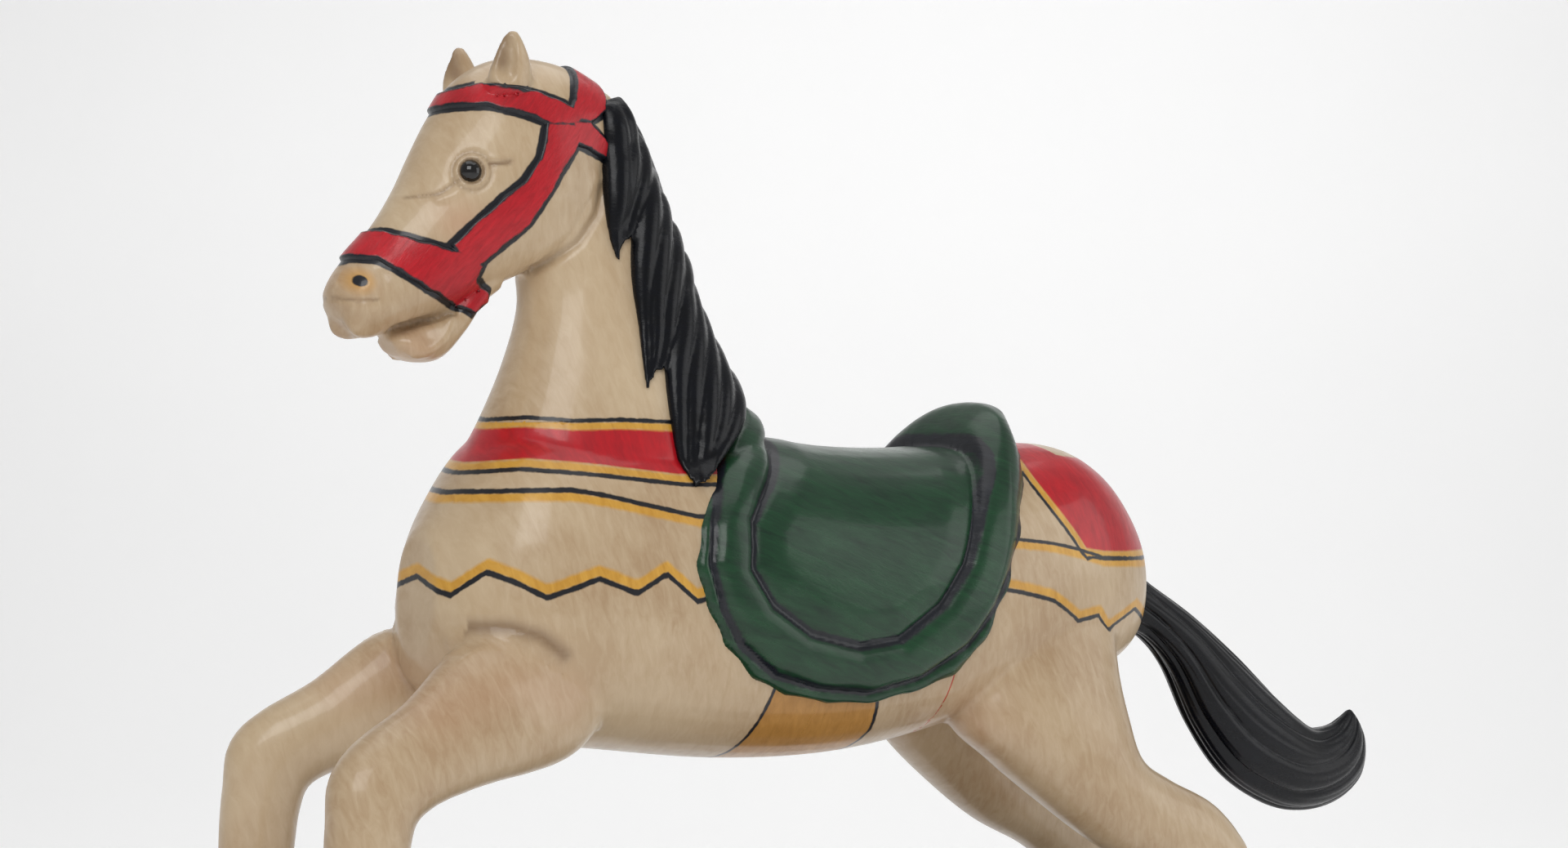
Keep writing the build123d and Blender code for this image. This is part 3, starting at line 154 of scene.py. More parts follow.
# %% Ribs and lofts
def curve_through(rows, steps):
    """A smooth curve through rows of numbers, with so many steps in each span."""
    v = np.array(rows, float)
    q = np.vstack([2 * v[0] - v[1], v, 2 * v[-1] - v[-2]])
    out = []
    for i in range(len(v) - 1):
        a, b, c, d = q[i:i + 4]
        for t in np.arange(steps) / steps:
            out.append(0.5 * (2 * b + (c - a) * t + (2 * a - 5 * b + 4 * c - d) * t ** 2
                              + (3 * b - a - 3 * c + d) * t ** 3))
    return np.array(out + [v[-1]])


def tube_faces(rings, sides):
    """The faces of a tube of rings; its last two points close its two ends as fans."""
    faces = []
    for r in range(rings - 1):
        for s in range(sides):
            t = (s + 1) % sides
            faces.append((r * sides + s, r * sides + t, (r + 1) * sides + t, (r + 1) * sides + s))
    first, last, base = rings * sides, rings * sides + 1, (rings - 1) * sides
    for s in range(sides):
        t = (s + 1) % sides
        faces += [(first, t, s), (last, base + s, base + t)]
    return faces


def rib_ring(front_x, front_z, back_x, back_z, half, y, power, sides):
    """One oval rib from its front to its back; a higher power makes it squarer."""
    span = np.hypot(back_x - front_x, back_z - front_z)
    ux, uz = (back_x - front_x) / span, (back_z - front_z) / span
    turn = 2 * pi * np.arange(sides) / sides
    c, s = np.cos(turn), np.sin(turn)
    along = span / 2 * np.abs(c) ** (2 / power) * np.sign(c)
    across = half * np.abs(s) ** (2 / power) * np.sign(s)
    return np.stack([(front_x + back_x) / 2 + ux * along, y + across,
                     (front_z + back_z) / 2 + uz * along], axis=1)


def loft(name, ribs, sides=48, steps=6, power=2.2, flute=None):
    """A closed volume through ribs given as (front x, front z, back x, back z, half width, y)."""
    rows = curve_through([tuple(r) + (0,) * (6 - len(r)) for r in ribs], steps)
    rings = [rib_ring(*row, power, sides) for row in rows]
    if flute:
        turn = 2 * pi * np.arange(sides) / sides
        for i, ring in enumerate(rings):
            middle = ring.mean(0)
            rings[i] = middle + (ring - middle) * flute(i / (len(rings) - 1), turn)[:, None]
    points = np.vstack(rings + [rings[0].mean(0), rings[-1].mean(0)])
    return add_mesh(name, points, tube_faces(len(rings), sides))


# %% [markdown]
# ## Clay and brushes
# A voxel remesh fuses volumes that overlap into one even skin. The brushes then move its points:
# they swell, pull, ring, stroke along a line, and relax what is too rough.

# %% Clay and brushes
def fuse(name, pieces, voxel_mm):
    """Volumes that overlap become one skin."""
    obj = join(name, pieces)
    apply_modifier(obj, "REMESH", mode="VOXEL", voxel_size=voxel_mm / 1000, use_smooth_shade=True)
    return obj


def ease(v):
    """A soft step from 0 to 1."""
    t = np.clip(v, 0, 1)
    return t * t * (3 - 2 * t)


class Clay:
    """Soft brushes on a dense mesh, in the horse's millimetres, on both sides at once."""

    SMOOTH, REGROW = 0.55, -0.53  # a smoothing step, and the step back that keeps the volume

    def __init__(self, obj):
        self.mesh = obj.data
        n = len(self.mesh.vertices)
        flat = np.empty(n * 3)
        self.mesh.vertices.foreach_get("co", flat)
        self.p = flat.reshape(n, 3) * 1000
        self.p[:, 2] -= DATUM * 1000
        pairs = np.empty(len(self.mesh.edges) * 2, int)
        self.mesh.edges.foreach_get("vertices", pairs)
        self.pairs = pairs.reshape(-1, 2)
        self.count = np.bincount(self.pairs.ravel(), minlength=n)[:, None]
        self.look()

    def look(self):
        """Write the points and read the new normals."""
        self.write()
        flat = np.empty(len(self.p) * 3)
        self.mesh.vertex_normals.foreach_get("vector", flat)
        self.n = flat.reshape(-1, 3)

    def write(self):
        q = self.p / 1000
        q[:, 2] += DATUM
        self.mesh.vertices.foreach_set("co", q.ravel())
        self.mesh.update()

    def near(self, centre):
        """Distance to a point and its mirror image; y is counted outwards from the middle."""
        q = self.p.copy()
        q[:, 1] = np.abs(q[:, 1])
        return np.linalg.norm(q - np.array(centre, float), axis=1)

    def swell(self, centre, radius, amount):
        """Raise the skin round a point, or sink it with an amount below zero."""
        w = ease(1 - self.near(centre) / radius)
        self.p += self.n * (w * amount)[:, None]

    def pull(self, centre, radius, move):
        """Drag the skin round a point; sideways counts outwards on both sides."""
        w = ease(1 - self.near(centre) / radius)[:, None]
        side = np.where(self.p[:, 1:2] < 0, (1, -1, 1), (1, 1, 1))
        self.p += side * np.array(move, float) * w

    def ring(self, centre, radius, width, amount):
        """A raised or sunk ring round a point, as a lid is."""
        w = np.exp(-((self.near(centre) - radius) / width) ** 2)
        self.p += self.n * (w * amount)[:, None]

    def stroke(self, line, width, amount, side_only=0.35):
        """A groove (amount below zero) or a ridge along a line in the side view."""
        d = line_distance(self.p[:, 0], self.p[:, 2], line)
        w = np.exp(-(d / width) ** 2) * (np.abs(self.n[:, 1]) > side_only)
        self.p += self.n * (w * amount)[:, None]

    def relax(self, times, where=None):
        """Even out the surface without shrinking it."""
        w = 1.0 if where is None else where[:, None]
        n = len(self.p)
        for i in range(times * 2):
            total = np.empty_like(self.p)
            for axis in range(3):
                v = self.p[:, axis]
                total[:, axis] = (np.bincount(self.pairs[:, 0], v[self.pairs[:, 1]], n)
                                  + np.bincount(self.pairs[:, 1], v[self.pairs[:, 0]], n))
            step = self.REGROW if i % 2 else self.SMOOTH
            self.p += (total / self.count - self.p) * step * w
        self.look()


# %% [markdown]
# ## Outlines in the side view
# Straps, the saddle and painted lines are outlines in the side view. Each needs the distance from
# a line, and from the edge of a closed shape.

# %% Distances from an outline
def line_distance(x, z, line, closed=False):
    """Distance from points to a run of straight pieces in a plane."""
    pts = np.array(line, float)
    ends = np.roll(pts, -1, axis=0) if closed else pts[1:]
    best = np.full(x.shape, 1e9)
    for (ax, az), (bx, bz) in zip(pts if closed else pts[:-1], ends):
        dx, dz = bx - ax, bz - az
        t = np.clip(((x - ax) * dx + (z - az) * dz) / (dx * dx + dz * dz + 1e-9), 0, 1)
        best = np.minimum(best, np.hypot(x - ax - t * dx, z - az - t * dz))
    return best


def inside(x, z, outline):
    """Which points lie inside a closed outline."""
    pts = np.array(outline, float)
    hit = np.zeros(x.shape, bool)
    for (ax, az), (bx, bz) in zip(pts, np.roll(pts, -1, axis=0)):
        if az != bz:
            hit ^= ((az > z) != (bz > z)) & (x < (bx - ax) * (z - az) / (bz - az) + ax)
    return hit


def depth_in(x, z, outline):
    """Distance inside an outline, below zero outside."""
    d = line_distance(x, z, outline, closed=True)
    return np.where(inside(x, z, outline), d, -d)


def tree_of(obj):
    faces = [p.vertices for p in obj.data.polygons]
    return BVHTree.FromPolygons([v.co for v in obj.data.vertices], faces)


# %% [markdown]
# ## The rough volumes
# The barrel, neck, head, jaw, ears and legs are each one loft. The barrel's ribs stand nearly
# upright, the neck's lie across it, and the legs' follow the leg. Where two lofts overlap, the
# fused skin joins them.

# %% Barrel, neck, head and legs
BARREL = [
    (-396, -205, -390, -95, 40), (-388, -232, -358, -50, 75), (-345, -268, -324, -10, 107),
    (-290, -286, -285, 2, 121), (-220, -298, -220, 2, 127), (-100, -316, -100, -12, 130),
    (20, -322, 20, -30, 129), (130, -312, 130, -34, 127), (225, -292, 230, -26, 123),
    (300, -280, 312, -20, 116), (350, -272, 366, -38, 104), (395, -262, 408, -76, 84),
    (425, -245, 432, -112, 62), (441, -215, 443, -150, 34),
]
NECK = [
    (-378, -118, -40, -30, 92), (-354, -52, -75, 32, 84), (-324, 3, -106, 84, 72),
    (-302, 52, -130, 140, 61), (-287, 102, -156, 205, 54), (-290, 145, -184, 258, 50),
    (-290, 200, -205, 290, 40),
]
HEAD = [
    (-212, 306, -192, 250, 32), (-262, 326, -214, 214, 50), (-315, 326, -228, 184, 61),
    (-352, 306, -244, 162, 65), (-376, 272, -268, 146, 64), (-394, 238, -302, 131, 59),
    (-410, 206, -334, 116, 51), (-432, 172, -362, 100, 43), (-455, 146, -388, 92, 40),
    (-470, 125, -410, 85, 39), (-475, 108, -432, 76, 34), (-468, 90, -450, 74, 22),
]
JAW = [
    (-330, 150, -318, 118, 30), (-352, 128, -336, 104, 31), (-374, 104, -352, 80, 30),
    (-398, 86, -374, 57, 29), (-416, 80, -398, 54, 26), (-426, 76, -415, 60, 17),
]
EAR = [
    (-344, 290, -302, 292, 16, -40), (-344, 306, -304, 304, 13.5, -45),
    (-340, 321, -308, 318, 10.5, -49), (-334, 336, -315, 333, 7, -51),
    (-327, 344, -321, 342, 3, -52),
]
FORELEG = [
    (-318, -172, -225, -246, 34, -58), (-391, -190, -290, -290, 43, -80),
    (-445, -230, -385, -305, 36, -96), (-506, -268, -437, -318, 33, -108),
    (-524, -330, -455, -342, 31, -114), (-526, -430, -464, -432, 27, -119),
    (-527, -530, -472, -532, 24, -124), (-534, -574, -470, -579, 27, -127),
    (-541, -606, -472, -610, 30, -129),
]
HINDLEG = [
    (165, -220, 375, -165, 52, -52), (160, -295, 364, -245, 60, -68),
    (200, -338, 366, -300, 56, -82), (262, -388, 378, -345, 47, -93),
    (330, -436, 418, -372, 40, -100), (405, -474, 478, -404, 35, -107),
    (450, -510, 518, -455, 31, -112), (460, -550, 520, -530, 27, -118),
    (456, -582, 520, -576, 27, -124), (450, -608, 524, -606, 30, -129),
]


def other_side(ribs):
    """The same ribs on the far side of the horse."""
    return [r[:5] + (-r[5],) for r in ribs]


BODY_VOXEL, HEAD_VOXEL = 4.2, 2.5

barrel = loft("barrel", BARREL, power=2.25)
neck = loft("neck", NECK)
head_parts = [copy_of(barrel, "barrel_for_head"), copy_of(neck, "neck_for_head"),
              loft("head", HEAD), loft("jaw", JAW),
              loft("ear_left", EAR), loft("ear_right", other_side(EAR))]
legs = [loft("fore_left", FORELEG), loft("fore_right", other_side(FORELEG)),
        loft("hind_left", HINDLEG), loft("hind_right", other_side(HINDLEG))]
body = fuse("horse_body", [barrel, neck] + legs, BODY_VOXEL)
head = fuse("horse_head", head_parts, HEAD_VOXEL)
print("clay points: body", len(body.data.vertices), "head", len(head.data.vertices))

# %% [markdown]
# ## Sculpting the body
# The brushes soften the joints of the legs, then cut the crease over each foreleg and give knees
# and hocks their bones.

# %% Body brushes
clay = Clay(body)
clay.relax(5)
shoulder = np.exp(-(clay.near((-330, 95, -215)) / 70) ** 2)
haunch = np.exp(-(clay.near((230, 100, -270)) / 90) ** 2)
clay.relax(14, np.clip((shoulder + haunch) * 1.5, 0, 1))
LEG_CREASE = [(-396, -178), (-378, -171), (-352, -171), (-328, -179), (-306, -196)]
UNDER_CREASE = [(-398, -190), (-372, -183), (-345, -184), (-318, -196)]
clay.stroke(LEG_CREASE, 3.5, -2.6)
clay.stroke(UNDER_CREASE, 9, 2.0)
clay.swell((-515, 112, -290), 40, 3.5)    # knee
clay.swell((-500, 130, -330), 26, 1.5)    # under the knee
clay.swell((505, 112, -462), 34, 4.0)     # hock
clay.pull((470, 108, -520), 30, (4, 0, 2))    # under the hock
clay.look()
clay.relax(2)
print("body sculpted, widest at", round(float(np.abs(clay.p[:, 1]).max())), "mm from the middle")

# %% [markdown]
# ## Sculpting the head
# The head carries the fine work: eye sockets with lids and a tear fold, hollow ears, nostrils, a
# mouth that stands open over a scooped lower lip, and the round edge of the cheek against the
# neck.

# %% Eyelids and tear fold
clay = Clay(head)
clay.relax(6)
EYE = (-366, 54, 218)
clay.swell(EYE, 26, -3.5)
clay.ring(EYE, 12.8, 2.2, 2.6)
clay.ring(EYE, 17.0, 1.8, -1.3)
clay.stroke([(-352, 224), (-343, 226), (-333, 227)], 1.9, -2.0)
clay.stroke([(-350, 229), (-336, 231)], 2.0, 1.2)
clay.stroke([(-377, 210), (-384, 203), (-392, 197), (-404, 195)], 1.8, -1.7)
clay.stroke([(-372, 205), (-381, 196), (-393, 192)], 2.2, 1.6)
clay.look()
print("eye socket at", EYE)

# %% Nostril, mouth and lips
NOSTRIL = (-459, 40, 121)
clay.swell(NOSTRIL, 17, 2.5)
clay.swell(NOSTRIL, 7.5, -9)
clay.stroke([(-478, 108), (-462, 104), (-448, 105)], 1.6, -1.3, side_only=0.0)
clay.stroke([(-441, 126), (-432, 110), (-420, 96)], 6, -2.0)
clay.stroke([(-434, 118), (-424, 101), (-415, 92)], 5, 1.5)
upper_lip = np.exp(-(clay.near((-466, 12, 84)) / 24) ** 2)
lower_lip = np.exp(-(clay.near((-420, 10, 60)) / 22) ** 2)
clay.relax(14, np.clip((upper_lip + lower_lip) * 1.4, 0, 1))
clay.pull((-462, 20, 76), 20, (-4, 0, -5))
clay.pull((-444, 20, 70), 16, (0, 0, -4))
clay.look()
clay.stroke([(-424, 81), (-408, 86), (-388, 91), (-370, 97)], 2.6, -5.0, side_only=0.0)
clay.swell((-398, 34, 78), 17, -5)
clay.stroke([(-372, 92), (-379, 74), (-394, 62), (-407, 58)], 4.0, 2.6)
clay.look()
print("nostril at", NOSTRIL)

# %% Round of the cheek and hollow of the ears
CHEEK_LINE = [(-232, 214), (-240, 188), (-257, 163), (-279, 145), (-300, 131)]
clay.stroke(CHEEK_LINE, 4.5, -4.5)
clay.stroke([(-240, 218), (-250, 192), (-268, 170), (-292, 153)], 9, 2.5)
clay.look()
for height, y, deep in ((306, 58, 5), (314, 60, 5), (322, 60, 4), (330, 59, 3)):
    clay.pull((-334, y, height), 13, (5.0, -deep, 0))
clay.look()
clay.relax(1)
print("head sculpted, top of the ears at", round(float(clay.p[:, 2].max())), "mm")

# %% [markdown]
# ## Head and body part at the chest band
# The head and the body are cut from each other in the level plane under the chest band's top line,
# so the paint covers the joint and each mesh keeps the fineness that it needs.

# %% Cut the neck
SEAM = 2.0        # height of the cut, in millimetres
SEAM_LAP = 0.6    # each skin runs this far past the cut, so that no gap shows
OUTSIDE = -0.5    # well to the left of the horse, in metres


def cut_level(obj, height, keep_above):
    deselect()
    bpy.context.view_layer.objects.active = obj
    obj.select_set(True)
    bpy.ops.object.mode_set(mode="EDIT")
    bpy.ops.mesh.select_all(action="SELECT")
    bpy.ops.mesh.bisect(plane_co=(0, 0, DATUM + height / 1000), plane_no=(0, 0, 1), use_fill=True,
                        clear_inner=keep_above, clear_outer=not keep_above)
    bpy.ops.object.mode_set(mode="OBJECT")


whole_tree = [tree_of(head), tree_of(body)]
head_whole, body_whole = copy_of(head, "head_whole"), copy_of(body, "body_whole")
cut_level(body, SEAM + SEAM_LAP, keep_above=False)
cut_level(head, SEAM - SEAM_LAP, keep_above=True)
print("cut at", SEAM, "mm: body", len(body.data.polygons), "head", len(head.data.polygons), "faces")


def side_of(x, z, default):
    """Where a line of sight from the left meets the horse at x, z: its y."""
    best = None
    for tree in whole_tree:
        hit = tree.ray_cast(Vector((x / 1000, OUTSIDE, DATUM + z / 1000)), Vector((0, 1, 0)))
        if hit[0] is not None and (best is None or hit[0].y < best):
            best = hit[0].y
    return default if best is None else best * 1000


# %% [markdown]
# ## Pieces that lie on the skin
# The bridle and the saddle are moulded on the horse, so each one is cut from a copy of the horse's
# own skin: the part inside an outline is kept, lifted, and closed underneath. Its edge dips just
# below the skin, so the visible edge is a clean curve. The distance from the outline is stored on
# the mesh for its paint.

# %% Lift a patch off the skin
def skin_patch(name, source, depth, height, keep=-2.5, wall_mm=3.0, relax=0):
    """The part of a skin where depth(points) > keep, lifted by height(points, depth).

    height gives the lift along the skin's normals and the lift straight up.
    """
    clay = Clay(source)
    d = depth(clay.p)
    kept = d > keep
    faces = [p.vertices[:] for p in source.data.polygons if all(kept[v] for v in p.vertices)]
    used = np.unique(np.array([v for f in faces for v in f]))
    order = np.full(len(d), -1)
    order[used] = np.arange(len(used))
    up, tall = height(clay.p[used], d[used])
    points = clay.p[used] + clay.n[used] * up[:, None] + np.array((0, 0, 1.0)) * tall[:, None]
    obj = add_mesh(name, points, [tuple(order[v] for v in f) for f in faces])
    if relax:
        Clay(obj).relax(relax)
    give_attribute(obj, "depth", d[used])
    apply_modifier(obj, "SOLIDIFY", thickness=wall_mm / 1000, offset=-1.0)
    bpy.data.objects.remove(source)
    return obj


# %% [markdown]
# ## The bridle
# Red straps: a browband under the ears, a headpiece behind them, a cheek strap and a wide
# noseband, which ends cut off under the jaw. They pass over the brow and the nose to the other
# side.

# %% Bridle straps
BROW = [
    (-430, 268), (-430, 286), (-392, 283), (-368, 294), (-345, 299), (-312, 295), (-275, 286),
    (-255, 277), (-262, 262), (-292, 259), (-315, 266), (-347, 274), (-378, 273), (-402, 262),
]
HEADPIECE = [
    (-286, 264), (-268, 288), (-252, 330), (-226, 330), (-222, 294), (-226, 279), (-250, 266),
]
CROSS = [(-276, 272), (-250, 271), (-226, 254), (-210, 247), (-210, 230), (-232, 236), (-272, 246)]
CHEEK = [
    (-300, 266), (-309, 232), (-324, 212), (-341, 198), (-365, 175), (-386, 154), (-362, 128),
    (-347, 141), (-311, 173), (-304, 184), (-282, 219), (-262, 248), (-262, 268),
]
NOSEBAND = [
    (-500, 148), (-480, 180), (-452, 166), (-432, 167), (-405, 158), (-380, 152), (-362, 152),
    (-348, 139), (-351, 127), (-336, 118), (-335, 107), (-352, 94), (-376, 104), (-403, 114),
    (-426, 127), (-444, 137), (-460, 139), (-490, 126),
]
STRAPS = [BROW, HEADPIECE, CROSS, CHEEK, NOSEBAND]
STRAP_LIFT = 3.4   # how far a strap stands off the skin
STRAP_ROOT = -2.0  # where its edge ends, under the skin
CUT_AWAY = -9      # a depth that no patch keeps


def in_ear(p):
    """Which points belong to an ear."""
    x, y, z = p.T
    return (z > EAR_LINE) & (np.abs(x + 323) < 27) & (np.abs(y) > 28)


def strap_depth(p):
    wander = 0.5 * np.sin(p[:, 0] / 7 + p[:, 2] / 11) + 0.4 * np.sin(p[:, 0] / 3.7 - p[:, 2] / 5.3)
    d = np.max([depth_in(p[:, 0], p[:, 2], outline) for outline in STRAPS], axis=0) + wander
    return np.where(in_ear(p), CUT_AWAY, d)


def strap_height(p, d):
    return STRAP_ROOT + (STRAP_LIFT - STRAP_ROOT) * ease(d / 3.6), np.zeros(len(d))


fine_head = apply_modifier(copy_of(head_whole, "fine_head"), "SUBSURF", levels=1, render_levels=1)
bridle = skin_patch("bridle_straps", fine_head, strap_depth, strap_height, wall_mm=2.2)
print("bridle", len(bridle.data.vertices), "points")

# %% [markdown]
# ## The saddle
# A moulded seat with a puffed rim between two grooves, a dished panel for the rider and a raised
# roll, the cantle, behind. The hand-painted edge is ragged, so its outline wanders a little.

# %% Saddle
SADDLE_EDGE = [
    (-48, 80), (-55, 34), (-84, 8), (-108, -8), (-133, -32), (-157, -60), (-176, -90),
    (-185, -123), (-176, -160), (-155, -198), (-120, -230), (-80, -250), (-31, -261), (18, -265),
    (66, -260), (118, -246), (152, -212), (178, -168), (199, -122), (214, -92), (228, -68),
    (248, -44), (272, -26), (284, -8), (292, 80),
]
SEAT_PANEL = [
    (-22, 80), (-28, 12), (-54, -22), (-78, -46), (-104, -70), (-121, -90), (-127, -130),
    (-105, -163), (-63, -191), (-6, -206), (42, -202), (91, -173), (124, -136), (142, -104),
    (160, -72), (177, -50), (186, -30), (192, 80),
]
RIM_LINE = [
    (-66, 60), (-80, 22), (-112, -8), (-143, -50), (-163, -88), (-170, -124), (-158, -166),
    (-138, -198), (-99, -227), (-46, -243), (13, -251), (69, -241), (125, -213), (159, -179),
    (184, -138), (204, -98), (230, -60), (262, -34),
]
SADDLE_FOOT = -275   # nothing of the saddle is lower
SADDLE_VOXEL = 3.1
PUFF = 8.5           # height of the puffed rim
CANTLE, POMMEL = 36, 5


def saddle_depth(p):
    wander = 0.9 * np.sin(p[:, 0] / 9 + p[:, 2] / 13) + 0.8 * np.sin(p[:, 2] / 6.1 - p[:, 0] / 17)
    d = depth_in(p[:, 0], p[:, 2], SADDLE_EDGE) + wander
    return np.where(p[:, 2] < SADDLE_FOOT, CUT_AWAY, d)


def saddle_height(p, d):
    x, y, z = p.T
    rim = line_distance(x, z, RIM_LINE)
    panel = depth_in(x, z, SEAT_PANEL)
    puff = np.clip(np.minimum(rim, np.abs(panel)) / 20, 0, 1)
    up = -3 + 7.5 * ease(d / 7)
    dish = 1 + 5 * ease(panel / 34)
    up += np.where(panel < 0, PUFF * np.sqrt(puff * (2 - puff)) * ease(d / 26), dish)
    up -= 3.0 * np.exp(-(rim / 4.2) ** 2) * ease(d / 6)
    up -= 3.5 * np.exp(-(panel / 5.0) ** 2) * ease(d / 30)
    behind = x - 240 + 30 * (y / 90) ** 2
    roll = np.exp(-np.abs(behind / 43) ** 2.6) * np.exp(-np.abs(y / 98) ** 4)
    roll *= ease(d / 14) * (z > -110)
    front = np.exp(-((x + 52) / 26) ** 2) * np.exp(-(y / 60) ** 2) * ease(d / 10)
    return up, CANTLE * roll + POMMEL * front


saddle_skin = apply_modifier(copy_of(body_whole, "saddle_skin"), "REMESH", mode="VOXEL",
                             voxel_size=SADDLE_VOXEL / 1000)
saddle = skin_patch("moulded_saddle", saddle_skin, saddle_depth, saddle_height, wall_mm=4.0, relax=1)
sp = Clay(saddle)
give_attribute(saddle, "rim", line_distance(sp.p[:, 0], sp.p[:, 2], RIM_LINE))
give_attribute(saddle, "panel", depth_in(sp.p[:, 0], sp.p[:, 2], SEAT_PANEL))
print("saddle", len(saddle.data.vertices), "points")

# %% [markdown]
# ## The mane
# The carver's mane is three big overlapping locks, each of a few smooth strands that fall from the
# crest to one point. Each strand is a tube laid on the neck, and the strands are fused with the
# crest.

# %% Mane
LOCKS = [
    # the points (x, z) of each strand, and how far its tip stands off the neck
    ([(-222, 290), (-219, 272), (-217, 244), (-221, 198), (-224, 172), (-221, 146)], 0),
    ([(-214, 296), (-206, 270), (-205, 240), (-212, 198), (-218, 158)], 1),
    ([(-204, 294), (-191, 268), (-187, 239), (-199, 199), (-213, 164)], 2),
    ([(-196, 293), (-178, 260), (-175, 228), (-190, 197), (-206, 170)], 2),
    ([(-178, 256), (-180, 225), (-186, 193), (-196, 140), (-199, 88), (-203, 30)], 0),
    ([(-166, 243), (-165, 205), (-175, 171), (-185, 118), (-189, 73), (-198, 40)], 1),
    ([(-155, 223), (-151, 185), (-158, 157), (-171, 111), (-178, 73), (-190, 45)], 2),
    ([(-145, 198), (-141, 160), (-149, 127), (-160, 89), (-176, 56)], 2),
    ([(-140, 178), (-148, 135), (-156, 89), (-170, 44), (-175, -15), (-170, -56)], 0),
    ([(-132, 153), (-138, 112), (-145, 74), (-157, 29), (-162, -15), (-166, -54)], 3),
    ([(-121, 128), (-127, 90), (-134, 52), (-144, 7), (-153, -30), (-165, -54)], 8),
    ([(-109, 98), (-116, 62), (-121, 29), (-133, -8), (-159, -49)], 11),
    ([(-92, 68), (-100, 38), (-108, 12), (-122, -12), (-153, -44)], 14),
]
FAR_LOCKS = [points[:4] for points, _ in LOCKS[1::2]]
STRAND_SIDES = 16
MANE_VOXEL = 2.4
NECK_MIDDLE = -3.0   # a strand never lies deeper than this, next to the middle of the neck


def strand(points, stand_off, side, wide=12.5):
    """One tapered strand on the neck, as a loft whose ribs cross its path."""
    path = curve_through(points, 5)
    last = len(path) - 1
    turn = 2 * pi * np.arange(STRAND_SIDES) / STRAND_SIDES
    rings = []
    for i, (x, z) in enumerate(path):
        t = i / last
        ahead = path[min(i + 1, last)] - path[max(i - 1, 0)]
        ux, uz = ahead / np.hypot(*ahead)
        half = wide * (0.72 + 0.55 * sin(pi * min(t * 1.25, 1))) * (1 - 0.86 * t ** 4)
        deep = half * 0.85
        y = min(side_of(x, z, NECK_MIDDLE), NECK_MIDDLE) - 2.0 - stand_off * t
        ring = np.stack([x - uz * half * np.cos(turn), side * (y + deep * np.sin(turn)),
                         z + ux * half * np.cos(turn)], axis=1)
        rings.append(ring)
    points_3d = np.vstack(rings + [rings[0].mean(0), rings[-1].mean(0)])
    faces = tube_faces(len(rings), STRAND_SIDES)
    if side > 0:
        faces = [f[::-1] for f in faces]
    return add_mesh("strand", points_3d, faces)


strands = [strand(points, off, 1) for points, off in LOCKS]
strands += [strand(points, 0, -1, 11) for points in FAR_LOCKS]
CREST = [
    (-228, 272, -200, 300, 14), (-208, 236, -170, 276, 19), (-190, 206, -150, 238, 20),
    (-172, 164, -132, 190, 20), (-150, 116, -111, 139, 20), (-126, 64, -89, 86, 20),
    (-100, 26, -64, 44, 16),
]
mane = fuse("carved_mane", strands + [loft("crest", CREST, sides=24)], MANE_VOXEL)
Clay(mane).relax(1)
print("mane", len(mane.data.vertices), "points from", len(strands), "strands")

# %% [markdown]
# ## The tail
# The tail's strands never part, so it is one loft. Coarse and fine flutes are cut into its ribs,
# and they wind round it as it curls.

# %% Tail
TAIL = [
    (428, -216, 424, -150, 20), (446, -222, 444, -148, 24), (485, -238, 490, -176, 26),
    (523, -275, 553, -213, 29), (561, -341, 617, -257, 33), (613, -401, 669, -298, 36),
    (681, -440, 718, -336, 37), (736, -452, 752, -355, 35), (790, -447, 788, -356, 30),
    (832, -426, 810, -349, 22), (848, -392, 822, -342, 12), (842, -362, 826, -341, 4),
]


def hair(along, turn):
    """How far each rib is cut back: coarse grooves, and fine ones between them."""
    twist = 9 * (turn + 0.5 * sin(5 * along)) / 2
    fine = 23 * (turn + 0.4 * sin(4 * along + 1)) / 2
    depth = min(1, along * 9) * (1 - 0.5 * along)
    coarse_cut = 0.15 * (1 - np.abs(np.sin(twist))) ** 2.2
    fine_cut = 0.03 * (1 - np.abs(np.sin(fine))) ** 2
    return 1 - depth * (coarse_cut + fine_cut)


tail = loft("carved_tail", TAIL, sides=160, steps=16, power=2.1, flute=hair)
print("tail", len(tail.data.vertices), "points")

# %% [markdown]
# ## The eyes
# Two black glass domes. A sphere is added in each socket and flattened at the back, because the
# socket hides that half.

# %% Eyes
EYE_RADIUS = 0.0098
EYE_X, EYE_Y, EYE_Z = -0.3655, 0.0505, DATUM + 0.218
DOME, BACK = 0.92, 0.5   # how much of the ball's depth is left in front and behind
balls = []
for side in (-1, 1):
    deselect()
    bpy.ops.mesh.primitive_uv_sphere_add(segments=40, ring_count=24, radius=EYE_RADIUS,
                                         location=(EYE_X, side * EYE_Y, EYE_Z))
    ball = bpy.context.object
    bpy.ops.object.transform_apply(location=True, rotation=True, scale=True)
    for v in ball.data.vertices:
        reach = (v.co.y - side * EYE_Y) * side
        v.co.y = side * (EYE_Y + reach * (DOME if reach > 0 else BACK))
    balls.append(ball)
eyes = join("glass_eyes", balls)
print("eyes", len(eyes.data.vertices), "points")

# %% [markdown]
# ## Paint lines as distances
# The painted bands are curves round the chest and the rump. Each point of the skin stores how far
# above or below each curve it lies, and how far inside the girth or a strap. The shader turns that
# into crisp edges, so a line stays sharp however coarse the mesh, and a little noise makes it a
# brush's line.

